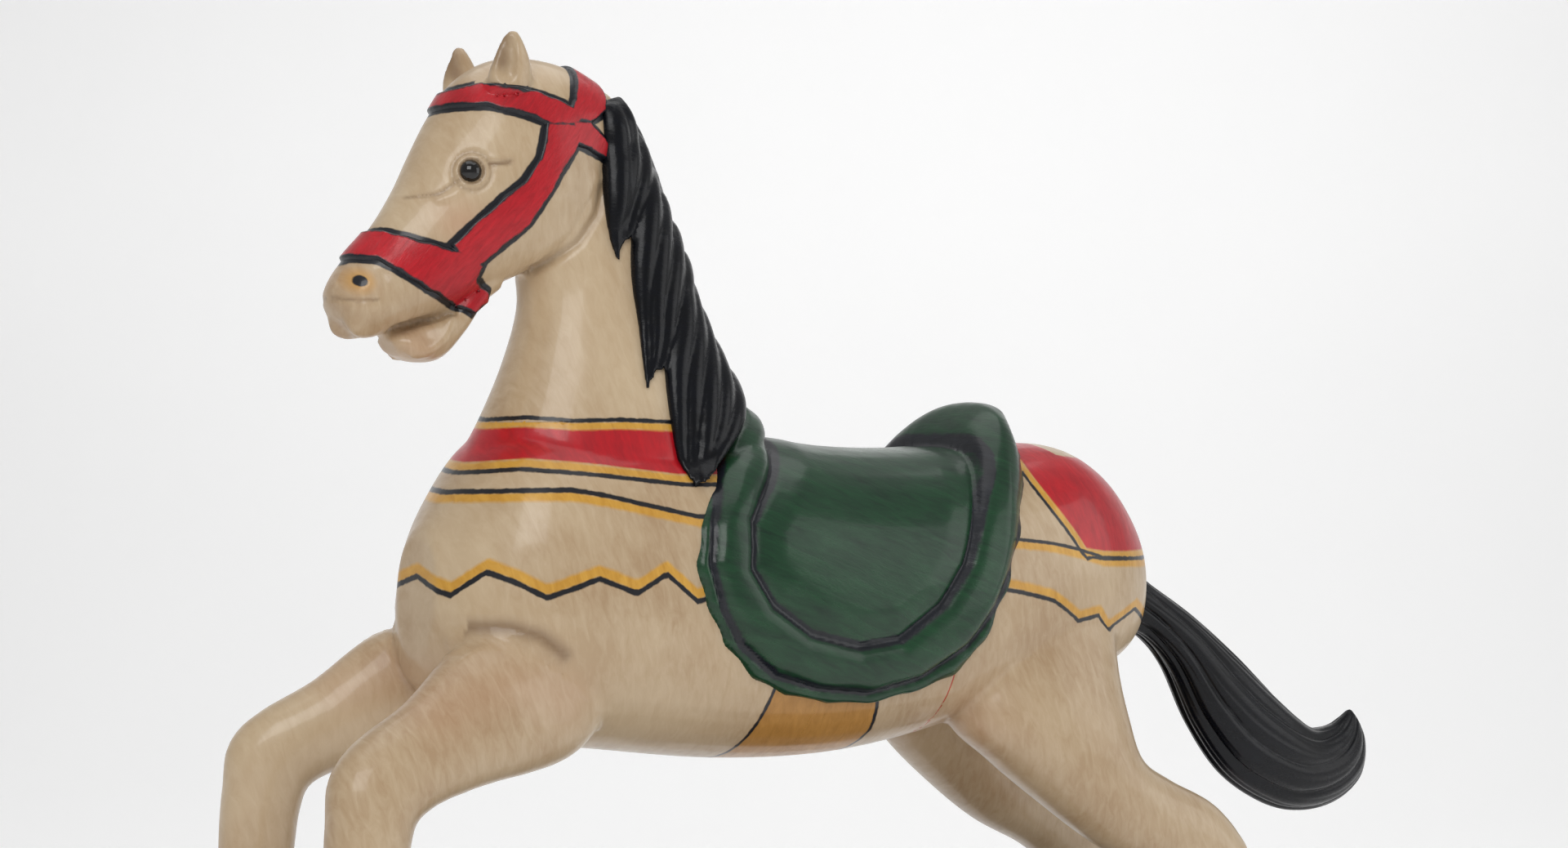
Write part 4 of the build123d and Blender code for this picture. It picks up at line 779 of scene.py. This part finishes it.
# %% Curves of the painted lines
# each line of the chest and rump as (angle round the horse, height); GIRTH is an outline (x, z)
TOP_Z = [(0, 2), (23, 4), (43, 1), (67, 2), (104, 0), (180, -2)]
RED_FOOT = [(0, -34), (11, -33), (30, -30), (45, -33), (66, -38), (100, -45), (180, -48)]
LINE_TWO = [
    (0, -60), (8, -59), (23, -58), (36, -57), (47, -57), (59, -62), (73, -69), (102, -82),
    (180, -92),
]
SCALLOPS = [
    (0, -133), (16, -147), (26, -126), (34, -135), (42, -148), (49, -141), (57, -133), (71, -147),
    (84, -131), (98, -157), (120, -140),
]
RUMP_EDGE = [(0, -134), (60, -132), (80, -130), (94, -126), (112, -79), (127, -38), (180, -20)]
RUMP_LINE = [(0, -142), (40, -141), (81, -136), (100, -126), (115, -119), (130, -114), (180, -110)]
RUMP_SCALLOPS = [
    (0, -192), (24, -212), (46, -193), (71, -212), (82, -195), (98, -199), (115, -176),
    (126, -168), (134, -162), (180, -160),
]
GIRTH = [
    (-90, -225), (-95, -248), (-99, -272), (-112, -340), (36, -340), (42, -292), (33, -262),
    (30, -225),
]


def curve_at(turn, table):
    return np.interp(turn, *np.array(table, float).T)


def chest_turn(x, y):
    """Degrees from the middle of the chest, seen from above."""
    return np.degrees(np.arctan2(np.abs(y), -(x + 200)))


def rump_turn(x, y):
    """Degrees from the middle of the rump, seen from above."""
    return np.degrees(np.arctan2(np.abs(y), x - 300))


PAINTED = (TOP_Z, RED_FOOT, LINE_TWO, SCALLOPS, RUMP_EDGE, RUMP_LINE, RUMP_SCALLOPS)
print(len(PAINTED), "painted lines and the girth")


# %% Paint distances of the body
def paint_body(obj):
    x, y, z = Clay(obj).p.T
    chest, rump = chest_turn(x, y), rump_turn(x, y)
    slope = np.interp(rump, (0, 88, 98, 125, 180), (1, 1, 0.6, 0.6, 1))
    fields = {
        "top": z - curve_at(chest, TOP_Z), "foot": z - curve_at(chest, RED_FOOT),
        "two": z - curve_at(chest, LINE_TWO), "scallop": (z - curve_at(chest, SCALLOPS)) * 0.88,
        "rump": (z - curve_at(rump, RUMP_EDGE)) * slope, "rump_line": z - curve_at(rump, RUMP_LINE),
        "rump_scallop": (z - curve_at(rump, RUMP_SCALLOPS)) * 0.88,
    }
    for name, value in fields.items():
        here = x > 120 if name.startswith("rump") else x < -40
        give_attribute(obj, name, np.where(here, value, FAR))
    give_attribute(obj, "girth", np.where(z < -232, depth_in(x, z, GIRTH), -FAR))
    # painted shade: darker in the crease over each foreleg
    fold = [(cx, cz - 2) for cx, cz in LEG_CREASE]
    painted_crease_shade = np.exp(-(line_distance(x, z, fold) / 6) ** 2)
    shoulder = [(-430, -235), (-360, -215), (-300, -235)]
    blush_and_lip_shade = np.exp(-(line_distance(x, z, shoulder) / 26) ** 2) * 0.5
    blush_and_lip_shade += 0.5 * np.exp(-(np.hypot(x - 150, z + 300) / 50) ** 2)
    give_attribute(obj, "painted_crease_shade", np.clip(painted_crease_shade * (np.abs(y) > 70) * 0.8, 0, 1))
    give_attribute(obj, "blush_and_lip_shade", np.clip(blush_and_lip_shade, 0, 1) * 0.7)


# %% Paint distances of the head
FOLDS = [
    # a fold darkened with painted shade: its line, its width and how dark the shade is
    ([(-351, 224), (-333, 227)], 1.8, 0.9), ([(-374, 211), (-392, 197), (-412, 195)], 1.4, 0.6),
    ([(-478, 108), (-462, 104), (-446, 105)], 1.4, 0.6),
    ([(-426, 80), (-408, 85), (-388, 90), (-372, 96)], 2.4, 0.55), (CHEEK_LINE, 4, 0.45),
]


def paint_head(obj):
    clay = Clay(obj)
    x, y, z = clay.p.T
    outline = np.max([depth_in(x, z, strap) for strap in STRAPS], axis=0)
    halo = np.hypot(x - NOSTRIL[0], z - NOSTRIL[2])
    give_attribute(obj, "top", z - curve_at(chest_turn(x, y), TOP_Z))
    give_attribute(obj, "strap", np.where(in_ear(clay.p), -FAR, outline))
    give_attribute(obj, "nostril", np.where(np.abs(y) > 8, halo, FAR))
    # painted shade: darker in the folds, round the eyelids and in the ears' hollows
    painted_crease_shade = np.max([np.exp(-(line_distance(x, z, line) / width) ** 2) * deep
                     for line, width, deep in FOLDS], axis=0)
    ring = clay.near(EYE)
    lid = np.exp(-((ring - 10.4) / 1.6) ** 2) * 0.8 + np.exp(-((ring - 16.5) / 1.8) ** 2) * 0.4
    hollow = ease((z - 302) / 14) * np.exp(-((x + 336) / 8) ** 2) * (np.abs(y) > 34) * 0.8
    painted_crease_shade = np.clip(np.max([painted_crease_shade * (np.abs(y) > 6), lid, hollow], axis=0), 0, 1)
    give_attribute(obj, "painted_crease_shade", painted_crease_shade)
    blush_and_lip_shade = np.exp(-(np.hypot(x + 375, z - 172) / 20) ** 2) * 0.75 + np.exp(-(halo / 13) ** 2) * 0.5
    # the lower lip's dent gets a darker pink tint, painted shade in its hollow
    blush_and_lip_shade += np.exp(-(np.hypot(x + 402, z - 70) / 16) ** 2) * 0.5
    give_attribute(obj, "blush_and_lip_shade", np.clip(blush_and_lip_shade, 0, 1))


paint_body(body)
paint_head(head)
for spare in (head_whole, body_whole):
    bpy.data.objects.remove(spare)
print("paint stored on", body.name, "and", head.name)

# %% [markdown]
# ## Finishes
# A small helper places nodes by name. Two effects serve more than one finish, so each is a group:
# the brush's streaks, which show in tone and as fine ridges under the lacquer, and the dirt and
# scratches of a machine that stands in a shop.


# %% Node helpers
class Tree:
    """Places nodes in a tree; an input may be a value or another node's socket."""

    def __init__(self, tree):
        self.tree = tree

    def put(self, kind, out=0, inputs=None, **settings):
        node = self.tree.nodes.new("ShaderNode" + kind)
        for key, value in settings.items():
            setattr(node, key, value)
        for key, value in (inputs or {}).items():
            if isinstance(value, bpy.types.NodeSocket):
                self.tree.links.new(value, node.inputs[key])
            else:
                node.inputs[key].default_value = value
        return node.outputs[out]

    def sum(self, kind, a, b=0.0, c=0.0):
        return self.put("Math", inputs={0: a, 1: b, 2: c}, operation=kind)

    def ramp(self, value, low, high, start=0.0, end=1.0):
        return self.put("MapRange", inputs={0: value, 1: low, 2: high, 3: start, 4: end})

    def mix(self, share, a, b):
        return self.put("Mix", 2, {0: share, 6: a, 7: b}, data_type="RGBA")

    def field(self, name):
        return self.put("Attribute", "Fac", attribute_name=name)

    def noise(self, place, scale, detail=3.0, rough=0.55, warp=0.0):
        return self.put("TexNoise", "Fac", {"Vector": place, "Scale": scale, "Detail": detail,
                                            "Roughness": rough, "Distortion": warp})


def rgb(text):
    """A paint colour as it looks, such as d8c3a0, made linear for the shader."""
    parts = [int(text[i:i + 2], 16) / 255 for i in (0, 2, 4)]
    return tuple(v / 12.92 if v <= 0.04045 else ((v + 0.055) / 1.055) ** 2.4 for v in parts) + (1.0,)


def new_group(name, inputs, outputs):
    group = bpy.data.node_groups.new(name, "ShaderNodeTree")
    for key, value in inputs.items():
        socket = group.interface.new_socket(key, in_out="INPUT", socket_type="NodeSocketFloat")
        socket.default_value = value
    for key in outputs:
        group.interface.new_socket(key, in_out="OUTPUT", socket_type="NodeSocketFloat")
    t = Tree(group)
    start = group.nodes.new("NodeGroupInput")
    end = group.nodes.new("NodeGroupOutput")
    return t, start.outputs, end.inputs


# %% [markdown]
# ## Two shared effects
# The streaks are a noise squeezed across the brush's direction, in a coarse and a fine size. Dirt
# is a cloudy noise, and scratches are a noise squeezed into thin level lines.

# %% Brush streaks and shop wear
t, given, result = new_group("brush_streaks", {"Scale": 60.0, "Tilt": 0.3, "Stretch": 9.0},
                             ["Tone", "Ridges", "Wander"])
place = t.put("TexCoord", "Object")
turned = t.put("VectorRotate", inputs={"Vector": place, "Angle": given["Tilt"]},
               rotation_type="Y_AXIS")
split = t.put("SeparateXYZ", 0, {0: turned}).node.outputs
squeezed = t.sum("MULTIPLY", split[0], given["Stretch"])
wide = t.put("CombineXYZ", inputs={0: squeezed, 1: split[1], 2: split[2]})
streaks = t.noise(wide, given["Scale"], 5.0, 0.6, 0.6)
fine = t.noise(wide, t.sum("MULTIPLY", given["Scale"], 3.1), 4.0, 0.65, 0.3)
cloud = t.noise(place, 9.0, 3.0, 0.5)
t.tree.links.new(t.sum("MULTIPLY_ADD", streaks, 0.6, t.sum("MULTIPLY", cloud, 0.4)), result["Tone"])
t.tree.links.new(t.sum("MULTIPLY_ADD", fine, 0.5, t.sum("MULTIPLY", streaks, 0.5)), result["Ridges"])
t.tree.links.new(t.noise(place, 140.0, 2.0, 0.5), result["Wander"])
BRUSH = t.tree

t, given, result = new_group("shop_wear", {"Scale": 1.0, "Scratches": 0.4}, ["Dirt", "Marks"])
place = t.put("TexCoord", "Object")
dirt = t.noise(place, t.sum("MULTIPLY", given["Scale"], 7.0), 6.0, 0.62, 0.4)
level = t.put("Mapping", inputs={"Vector": place, "Scale": (4.0, 4.0, 90.0)})
marks = t.ramp(t.noise(level, 6.0, 6.0, 0.7), 0.6, 0.72)
t.tree.links.new(t.ramp(dirt, 0.42, 0.75), result["Dirt"])
t.tree.links.new(t.sum("MULTIPLY", marks, given["Scratches"]), result["Marks"])
WEAR = t.tree
print("groups:", BRUSH.name, WEAR.name)

# %% [markdown]
# ## Placing the effects
# A number that is the same all over a surface is set on the shader's own socket, and only what
# changes over the surface is linked to it.


# %% Materials and their sockets
def material(name):
    made = bpy.data.materials.new(name)
    made.use_nodes = True
    shader = made.node_tree.nodes["Principled BSDF"]
    return made, Tree(made.node_tree), shader


def feed(t, shader, **sockets):
    """Link or set the shader's sockets, written with _ for a space."""
    for key, value in sockets.items():
        socket = shader.inputs[key.replace("_", " ")]
        if isinstance(value, bpy.types.NodeSocket):
            t.tree.links.new(value, socket)
        else:
            socket.default_value = value


def effect(t, group, **values):
    node = t.tree.nodes.new("ShaderNodeGroup")
    node.node_tree = group
    for key, value in values.items():
        node.inputs[key].default_value = value
    return node.outputs


def edge(t, distance, soft):
    """1 inside a painted shape, 0 outside; soft is how far the brush's edge fades, in millimetres."""
    return t.ramp(distance, soft, -soft)


def tones(t, brush, low, high, dark, light):
    """Two tones of a paint, brushed over each other."""
    return t.mix(t.ramp(brush["Tone"], low, high), rgb(dark), rgb(light))


def sheen(t, brush, dull, shiny):
    return t.ramp(brush["Tone"], 0.3, 0.7, dull, shiny)


def bumped(t, height, strength, distance_mm):
    return t.put("Bump", inputs={"Height": height, "Strength": strength, "Distance": distance_mm / 1000})


# %% [markdown]
# ## The horse's coat
# Cream paint brushed over tan, with the bands on it, a brown painted shade in the creases, lid
# rings and ear hollows, a pink flush that also paints the shade in the lower lip's hollow, and
# clear lacquer over all. The lacquer is the coat of the Principled shader, so the colour under it
# stays soft.

# %% Horse paint
def painted_horse(name, lines):
    """The coat of one skin; lines gives the paint, edge and distance of each band on it."""
    look, t, shader = material(name)
    brush = effect(t, BRUSH, Scale=46.0, Tilt=0.25, Stretch=3.2)
    wander = t.sum("MULTIPLY_ADD", brush["Wander"], 2.0, -1.0)
    patchy = t.noise(t.put("TexCoord", "Object"), 5.5, 3.0, 0.55, 0.4)
    cream = t.mix(t.ramp(patchy, 0.36, 0.64), rgb("ad906e"), rgb("c4ac8b"))
    cream = t.mix(t.sum("MULTIPLY", t.ramp(brush["Tone"], 0.4, 0.66), 0.4), cream, rgb("dccaac"))
    # a pink flush, which at the lower lip is painted shade in its hollow
    flush_and_lip_shade = t.mix(t.sum("MULTIPLY", t.field("blush_and_lip_shade"), 0.45), cream, rgb("c08468"))
    # painted shade: brown in the creases, round the eyelids and in the ears' hollows
    shade = t.mix(t.sum("MULTIPLY", t.field("painted_crease_shade"), 0.8), flush_and_lip_shade, rgb("6a4d33"))
    paints = {"gold": ("c08a2e", "dba848"), "girth": ("a07031", "bd8a47"), "red": ("a0101c", "c41622"),
              "ink": ("0b0c11", "191b23"), "halo": ("b38646", "c99a55")}
    paints = {k: tones(t, brush, 0.35, 0.65, dark, light) for k, (dark, light) in paints.items()}
    for paint, soft, distance in lines(t):
        shade = t.mix(edge(t, t.sum("ADD", distance, wander), soft), shade, paints[paint])
    feed(t, shader, Base_Color=shade, Roughness=sheen(t, brush, 0.42, 0.3),
         Normal=bumped(t, brush["Ridges"], 0.16, 1.0),
         Specular_IOR_Level=0.36, Coat_Weight=0.3, Coat_Roughness=0.1)
    return look


def stripe(t, name, middle, half):
    """Distance to a stripe that runs beside a stored curve."""
    return t.sum("SUBTRACT", t.sum("ABSOLUTE", t.sum("SUBTRACT", t.field(name), middle)), half)


# stripes beside the stored curves: the middle and half the width of each, in millimetres
GOLD = [("top", -3.0, 3.4), ("foot", -4.0, 3.6), ("two", -5.5, 4.0), ("scallop", 6.0, 4.4),
        ("rump", -3.0, 3.4), ("rump_line", -5.0, 4.0), ("rump_scallop", 5.5, 4.0)]
INK = [("top", 1.8, 2.0), ("foot", -9.0, 2.0), ("two", 0.0, 2.2), ("scallop", 0.0, 2.3),
       ("rump", -7.5, 1.7), ("rump_line", 0.0, 1.8), ("rump_scallop", 0.0, 2.0), ("girth", 1.5, 1.9)]


def body_lines(t):
    red = t.sum("MAXIMUM", t.sum("ADD", t.field("top"), 6.0), t.sum("MULTIPLY", t.field("foot"), -1.0))
    yield "girth", 1.4, t.sum("MULTIPLY", t.field("girth"), -1.0)
    yield "red", 0.8, red
    under = t.sum("MULTIPLY", t.field("rump"), -1.0)
    yield "red", 0.8, t.sum("MAXIMUM", under, t.sum("SUBTRACT", t.field("rump"), FAR - 2.0))
    for name, middle, half in GOLD:
        yield "gold", 1.5, stripe(t, name, middle, half)
    for name, middle, half in INK:
        yield "ink", 0.6, stripe(t, name, middle, half)


def head_lines(t):
    yield "halo", 5.0, t.sum("SUBTRACT", t.field("nostril"), 9.0)
    yield "ink", 0.6, t.sum("SUBTRACT", t.field("nostril"), 5.2)
    yield "ink", 0.6, t.sum("SUBTRACT", -2.0, t.field("strap"))
    yield "ink", 0.6, stripe(t, "top", 1.8, 2.0)


body_paint = painted_horse("horse_paint", body_lines)
head_paint = painted_horse("horse_paint_head", head_lines)
print("coats:", body_paint.name, head_paint.name)

# %% [markdown]
# ## Black, green and red gloss
# The mane, saddle and bridle have one colour each, in two tones of the same brush. Black lines
# follow the saddle's grooves and the bridle's edge, from the distances that were stored with their
# shapes.

# %% Gloss paints
LINE_BLACK = ("0e1015", "20232b")

black_gloss, t, shader = material("black_gloss")
brush = effect(t, BRUSH, Scale=44.0, Tilt=1.3, Stretch=3.0)
feed(t, shader, Base_Color=tones(t, brush, 0.35, 0.7, "050609", "0d0f16"),
     Roughness=sheen(t, brush, 0.34, 0.22), Normal=bumped(t, brush["Ridges"], 0.3, 1.4),
     Specular_IOR_Level=0.22, Coat_Weight=0.06, Coat_Roughness=0.08)

saddle_green, t, shader = material("saddle_green")
brush = effect(t, BRUSH, Scale=26.0, Tilt=1.2, Stretch=5.0)
wander = t.sum("MULTIPLY_ADD", brush["Wander"], 3.0, -1.5)
green = tones(t, brush, 0.34, 0.7, "0f2b1c", "204b2e")
ink = tones(t, brush, 0.3, 0.7, *LINE_BLACK)
outer = t.sum("SUBTRACT", t.field("rim"), 3.6)
inner = t.sum("SUBTRACT", t.sum("ABSOLUTE", t.field("panel")), 4.6)
lines = t.sum("ADD", t.sum("MINIMUM", outer, inner), wander)
feed(t, shader, Base_Color=t.mix(edge(t, lines, 1.0), green, ink),
     Roughness=sheen(t, brush, 0.36, 0.24), Normal=bumped(t, brush["Ridges"], 0.3, 1.5),
     Specular_IOR_Level=0.34, Coat_Weight=0.16, Coat_Roughness=0.1)

bridle_red, t, shader = material("bridle_red")
brush = effect(t, BRUSH, Scale=60.0, Tilt=-0.7, Stretch=5.0)
wander = t.sum("MULTIPLY_ADD", brush["Wander"], 3.2, -1.6)
red = tones(t, brush, 0.35, 0.68, "980c18", "c61c28")
ink = tones(t, brush, 0.3, 0.7, *LINE_BLACK)
rim = t.sum("ADD", t.sum("SUBTRACT", t.field("depth"), 4.4), wander)
feed(t, shader, Base_Color=t.mix(edge(t, rim, 0.7), red, ink),
     Roughness=sheen(t, brush, 0.4, 0.26), Normal=bumped(t, brush["Ridges"], 0.45, 1.2),
     Specular_IOR_Level=0.34, Coat_Weight=0.2, Coat_Roughness=0.1)

eye_black, t, shader = material("eye_glass")
iris = t.noise(t.put("TexCoord", "Object"), 300.0, 2.0)
feed(t, shader, Base_Color=t.mix(iris, rgb("050506"), rgb("120d0b")),
     Roughness=t.ramp(iris, 0.3, 0.7, 0.03, 0.07),
     Specular_IOR_Level=0.5, Coat_Weight=0.2, Coat_Roughness=0.02)

# %% [markdown]
# ## Putting the horse on the rocker
# Each new piece gets its paint and rides on the rocker, and the plain parts that it covers are hidden.

# %% Paint and ride
BODY_PARTS = ("torso_shell_left", "torso_shell_right", "foreleg_left", "foreleg_right",
              "hind_leg_left", "hind_leg_right")
HEAD_PARTS = ("neck_head_shell_left", "neck_head_shell_right", "ears")
HORSE = [
    # piece, paint, slot of the record, parts it hides
    (body, body_paint, "horse_paint", BODY_PARTS), (head, head_paint, "horse_paint", HEAD_PARTS),
    (bridle, bridle_red, "bridle_red", ("bridle",)),
    (saddle, saddle_green, "saddle_green", ("saddle",)),
    (mane, black_gloss, "black_gloss", ("mane",)), (tail, black_gloss, "black_gloss", ("tail",)),
    (eyes, eye_black, "black_gloss", ()),
]
for piece, look, slot, stands_for in HORSE:
    finish_piece(piece, look)
    if stands_for:
        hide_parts(*stands_for)

# %% [markdown]
# ## The machine's finishes
# Every part of the machine keeps its shape from the design model and gets one of eleven shop
# finishes. The record says which slot a part takes, so one table of colours and one recipe for
# each kind of surface do.

# %% Machine finishes
FINISHES = {
    # slot: colour, darker colour, metallic, roughness, coat, scratches
    "armature_steel": ("b9b9bb", "8a8a8d", 1.0, 0.34, 0.0, 0.5),
    "frame_paint": ("232425", "121314", 0.0, 0.42, 0.1, 0.35),
    "cabinet_paint": ("a8161c", "7d0f14", 0.0, 0.26, 0.45, 0.2),
    "mat_rubber": ("2a2b2c", "1b1c1d", 0.0, 0.78, 0.0, 0.15),
    "trim_aluminium": ("c9cacc", "a4a5a8", 1.0, 0.3, 0.0, 0.4),
    "cast_housing": ("66737c", "4c565d", 0.1, 0.5, 0.15, 0.3),
    "bronze": ("bf9550", "8d6a34", 1.0, 0.32, 0.0, 0.4),
    "black_plastic": ("1d1d1f", "131314", 0.0, 0.5, 0.0, 0.25),
    "stainless": ("c2c2c1", "9d9d9c", 1.0, 0.3, 0.0, 0.6),
    "chrome_fitting": ("d7d7da", "b9b9bd", 1.0, 0.12, 0.0, 0.3),
    "button_red": ("c2181b", "971114", 0.0, 0.2, 0.6, 0.1),
}
made = {"black_gloss": black_gloss}
for slot, (light, dark, metal, rough, coat, scratch) in FINISHES.items():
    look, t, shader = material(slot)
    wear = effect(t, WEAR, Scale=1.0 + metal, Scratches=scratch)
    shade = t.mix(t.sum("MULTIPLY", wear["Dirt"], 0.55), rgb(light), rgb(dark))
    marks, grain = wear["Marks"], t.noise(t.put("TexCoord", "Object"), 420.0, 2.0)
    dull = t.sum("MULTIPLY_ADD", wear["Dirt"], 0.14, rough)
    feed(t, shader, Base_Color=shade, Metallic=metal,
         Roughness=t.sum("ADD", dull, t.sum("MULTIPLY", marks, 0.25)),
         Normal=bumped(t, t.sum("SUBTRACT", grain, marks), 0.12, 0.25),
         Coat_Weight=coat, Coat_Roughness=0.1)
    made[slot] = look

slot_of = {row["node"]: row["material_slot"] for row in frame["record"]["subparts"]}
for name, node in frame["nodes"].items():
    if node.hide_render:
        continue
    node.data.materials.clear()
    node.data.materials.append(made[slot_of[name]])
print("finished", sum(not n.hide_render for n in frame["nodes"].values()), "machine parts")

# %% [markdown]
# ## The studio
# A pale floor that curves up into a wall, four big soft lights and a bright room, so that the gloss
# shows wide soft highlights. The camera stands level with the chest band, ahead of the
# left side.

# %% Floor
TURN = radians(35)                       # the camera's turn to the left of square
view = Vector((sin(TURN), cos(TURN), 0))
across = Vector((cos(TURN), -sin(TURN), 0))
PAPER_LONG, PAPER_WIDE = 12, 14          # metres
NEAR_END = 4.5                           # how far it runs towards the camera
CURL_AT, CURL_RADIUS = 3.0, 1.6          # where it curls up into the wall
BELOW_FEET = 0.0005


def paper_line(run):
    """Along the floor, round the curl and up the wall."""
    bend = max(0.0, run - CURL_AT)
    if not bend:
        return run, 0.0
    angle = min(bend / CURL_RADIUS, pi / 2)
    wall = max(0, bend - CURL_RADIUS * pi / 2)
    return CURL_AT + CURL_RADIUS * sin(angle), CURL_RADIUS - CURL_RADIUS * cos(angle) + wall


deselect()
bpy.ops.mesh.primitive_grid_add(x_subdivisions=8, y_subdivisions=60, size=1, location=(0, 0, 0))
floor = bpy.context.object
floor.name = "studio_floor"
for v in floor.data.vertices:
    flat, rise = paper_line((v.co.y + 0.5) * PAPER_LONG - NEAR_END)
    v.co = view * flat + across * (v.co.x * PAPER_WIDE) + Vector((0, 0, rise - BELOW_FEET))
floor.data.polygons.foreach_set("use_smooth", np.ones(len(floor.data.polygons), bool))
paper, t, shader = material("studio_paper")
cloud = t.noise(t.put("TexCoord", "Object"), 2.0)
feed(t, shader, Base_Color=t.mix(cloud, rgb("f4f4f4"), rgb("f7f7f7")), Roughness=0.9,
     Emission_Color=(1, 1, 1, 1), Emission_Strength=0.2)
floor.data.materials.append(paper)
floor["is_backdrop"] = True
print("floor of", PAPER_LONG, "by", PAPER_WIDE, "m")


# %% Lights and room
def soft_light(name, place, target, size, power):
    data = bpy.data.lights.new(name, "AREA")
    data.shape, data.size, data.size_y, data.energy = "RECTANGLE", size[0], size[1], power
    lamp = bpy.data.objects.new(name, data)
    bpy.context.scene.collection.objects.link(lamp)
    lamp.location = place
    lamp.rotation_euler = (Vector(target) - Vector(place)).to_track_quat("-Z", "Y").to_euler()


HORSE_MIDDLE, WALL_MIDDLE = (0.0, 0.0, 0.8), (2.8, 4.6, 1.2)
LIGHTS = [
    # name, place, what it points at, width and height, watts
    ("key", (-2.2, -2.6, 3.0), HORSE_MIDDLE, (2.4, 2.0), 58),
    ("fill", (2.6, -2.0, 1.6), HORSE_MIDDLE, (2.0, 2.4), 18),
    ("top", (0.2, 0.3, 3.6), HORSE_MIDDLE, (3.0, 3.0), 30),
    ("wall", (1.5, 1.2, 3.4), WALL_MIDDLE, (4.0, 2.0), 24),
]
for light in LIGHTS:
    soft_light(*light)
world = bpy.data.worlds.new("room")
bpy.context.scene.world = world
world.use_nodes = True
room = world.node_tree.nodes["Background"].inputs
room["Color"].default_value = (1, 1, 1, 1)
room["Strength"].default_value = 0.36
bpy.context.scene.view_settings.view_transform = "Standard"
print(len(LIGHTS), "soft lights")

# %% Camera
DISTANCE = 2.13
lens = bpy.data.cameras.new("camera")
lens.lens, lens.sensor_width, lens.clip_end = 50, 36, 60
camera = bpy.data.objects.new("camera", lens)
bpy.context.scene.collection.objects.link(camera)
camera.location = -view * DISTANCE + Vector((0, 0, DATUM))
camera.rotation_euler = (radians(90), 0, -TURN)
bpy.context.scene.camera = camera
print("camera", DISTANCE, "m from the horse")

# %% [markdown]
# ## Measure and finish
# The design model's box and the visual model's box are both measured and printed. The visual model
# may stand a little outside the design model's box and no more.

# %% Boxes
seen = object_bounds()
{"cad": [list(c) for c in CAD_BOX], "visual": [list(c) for c in seen]}
print("design box", CAD_BOX, "visual box", seen)
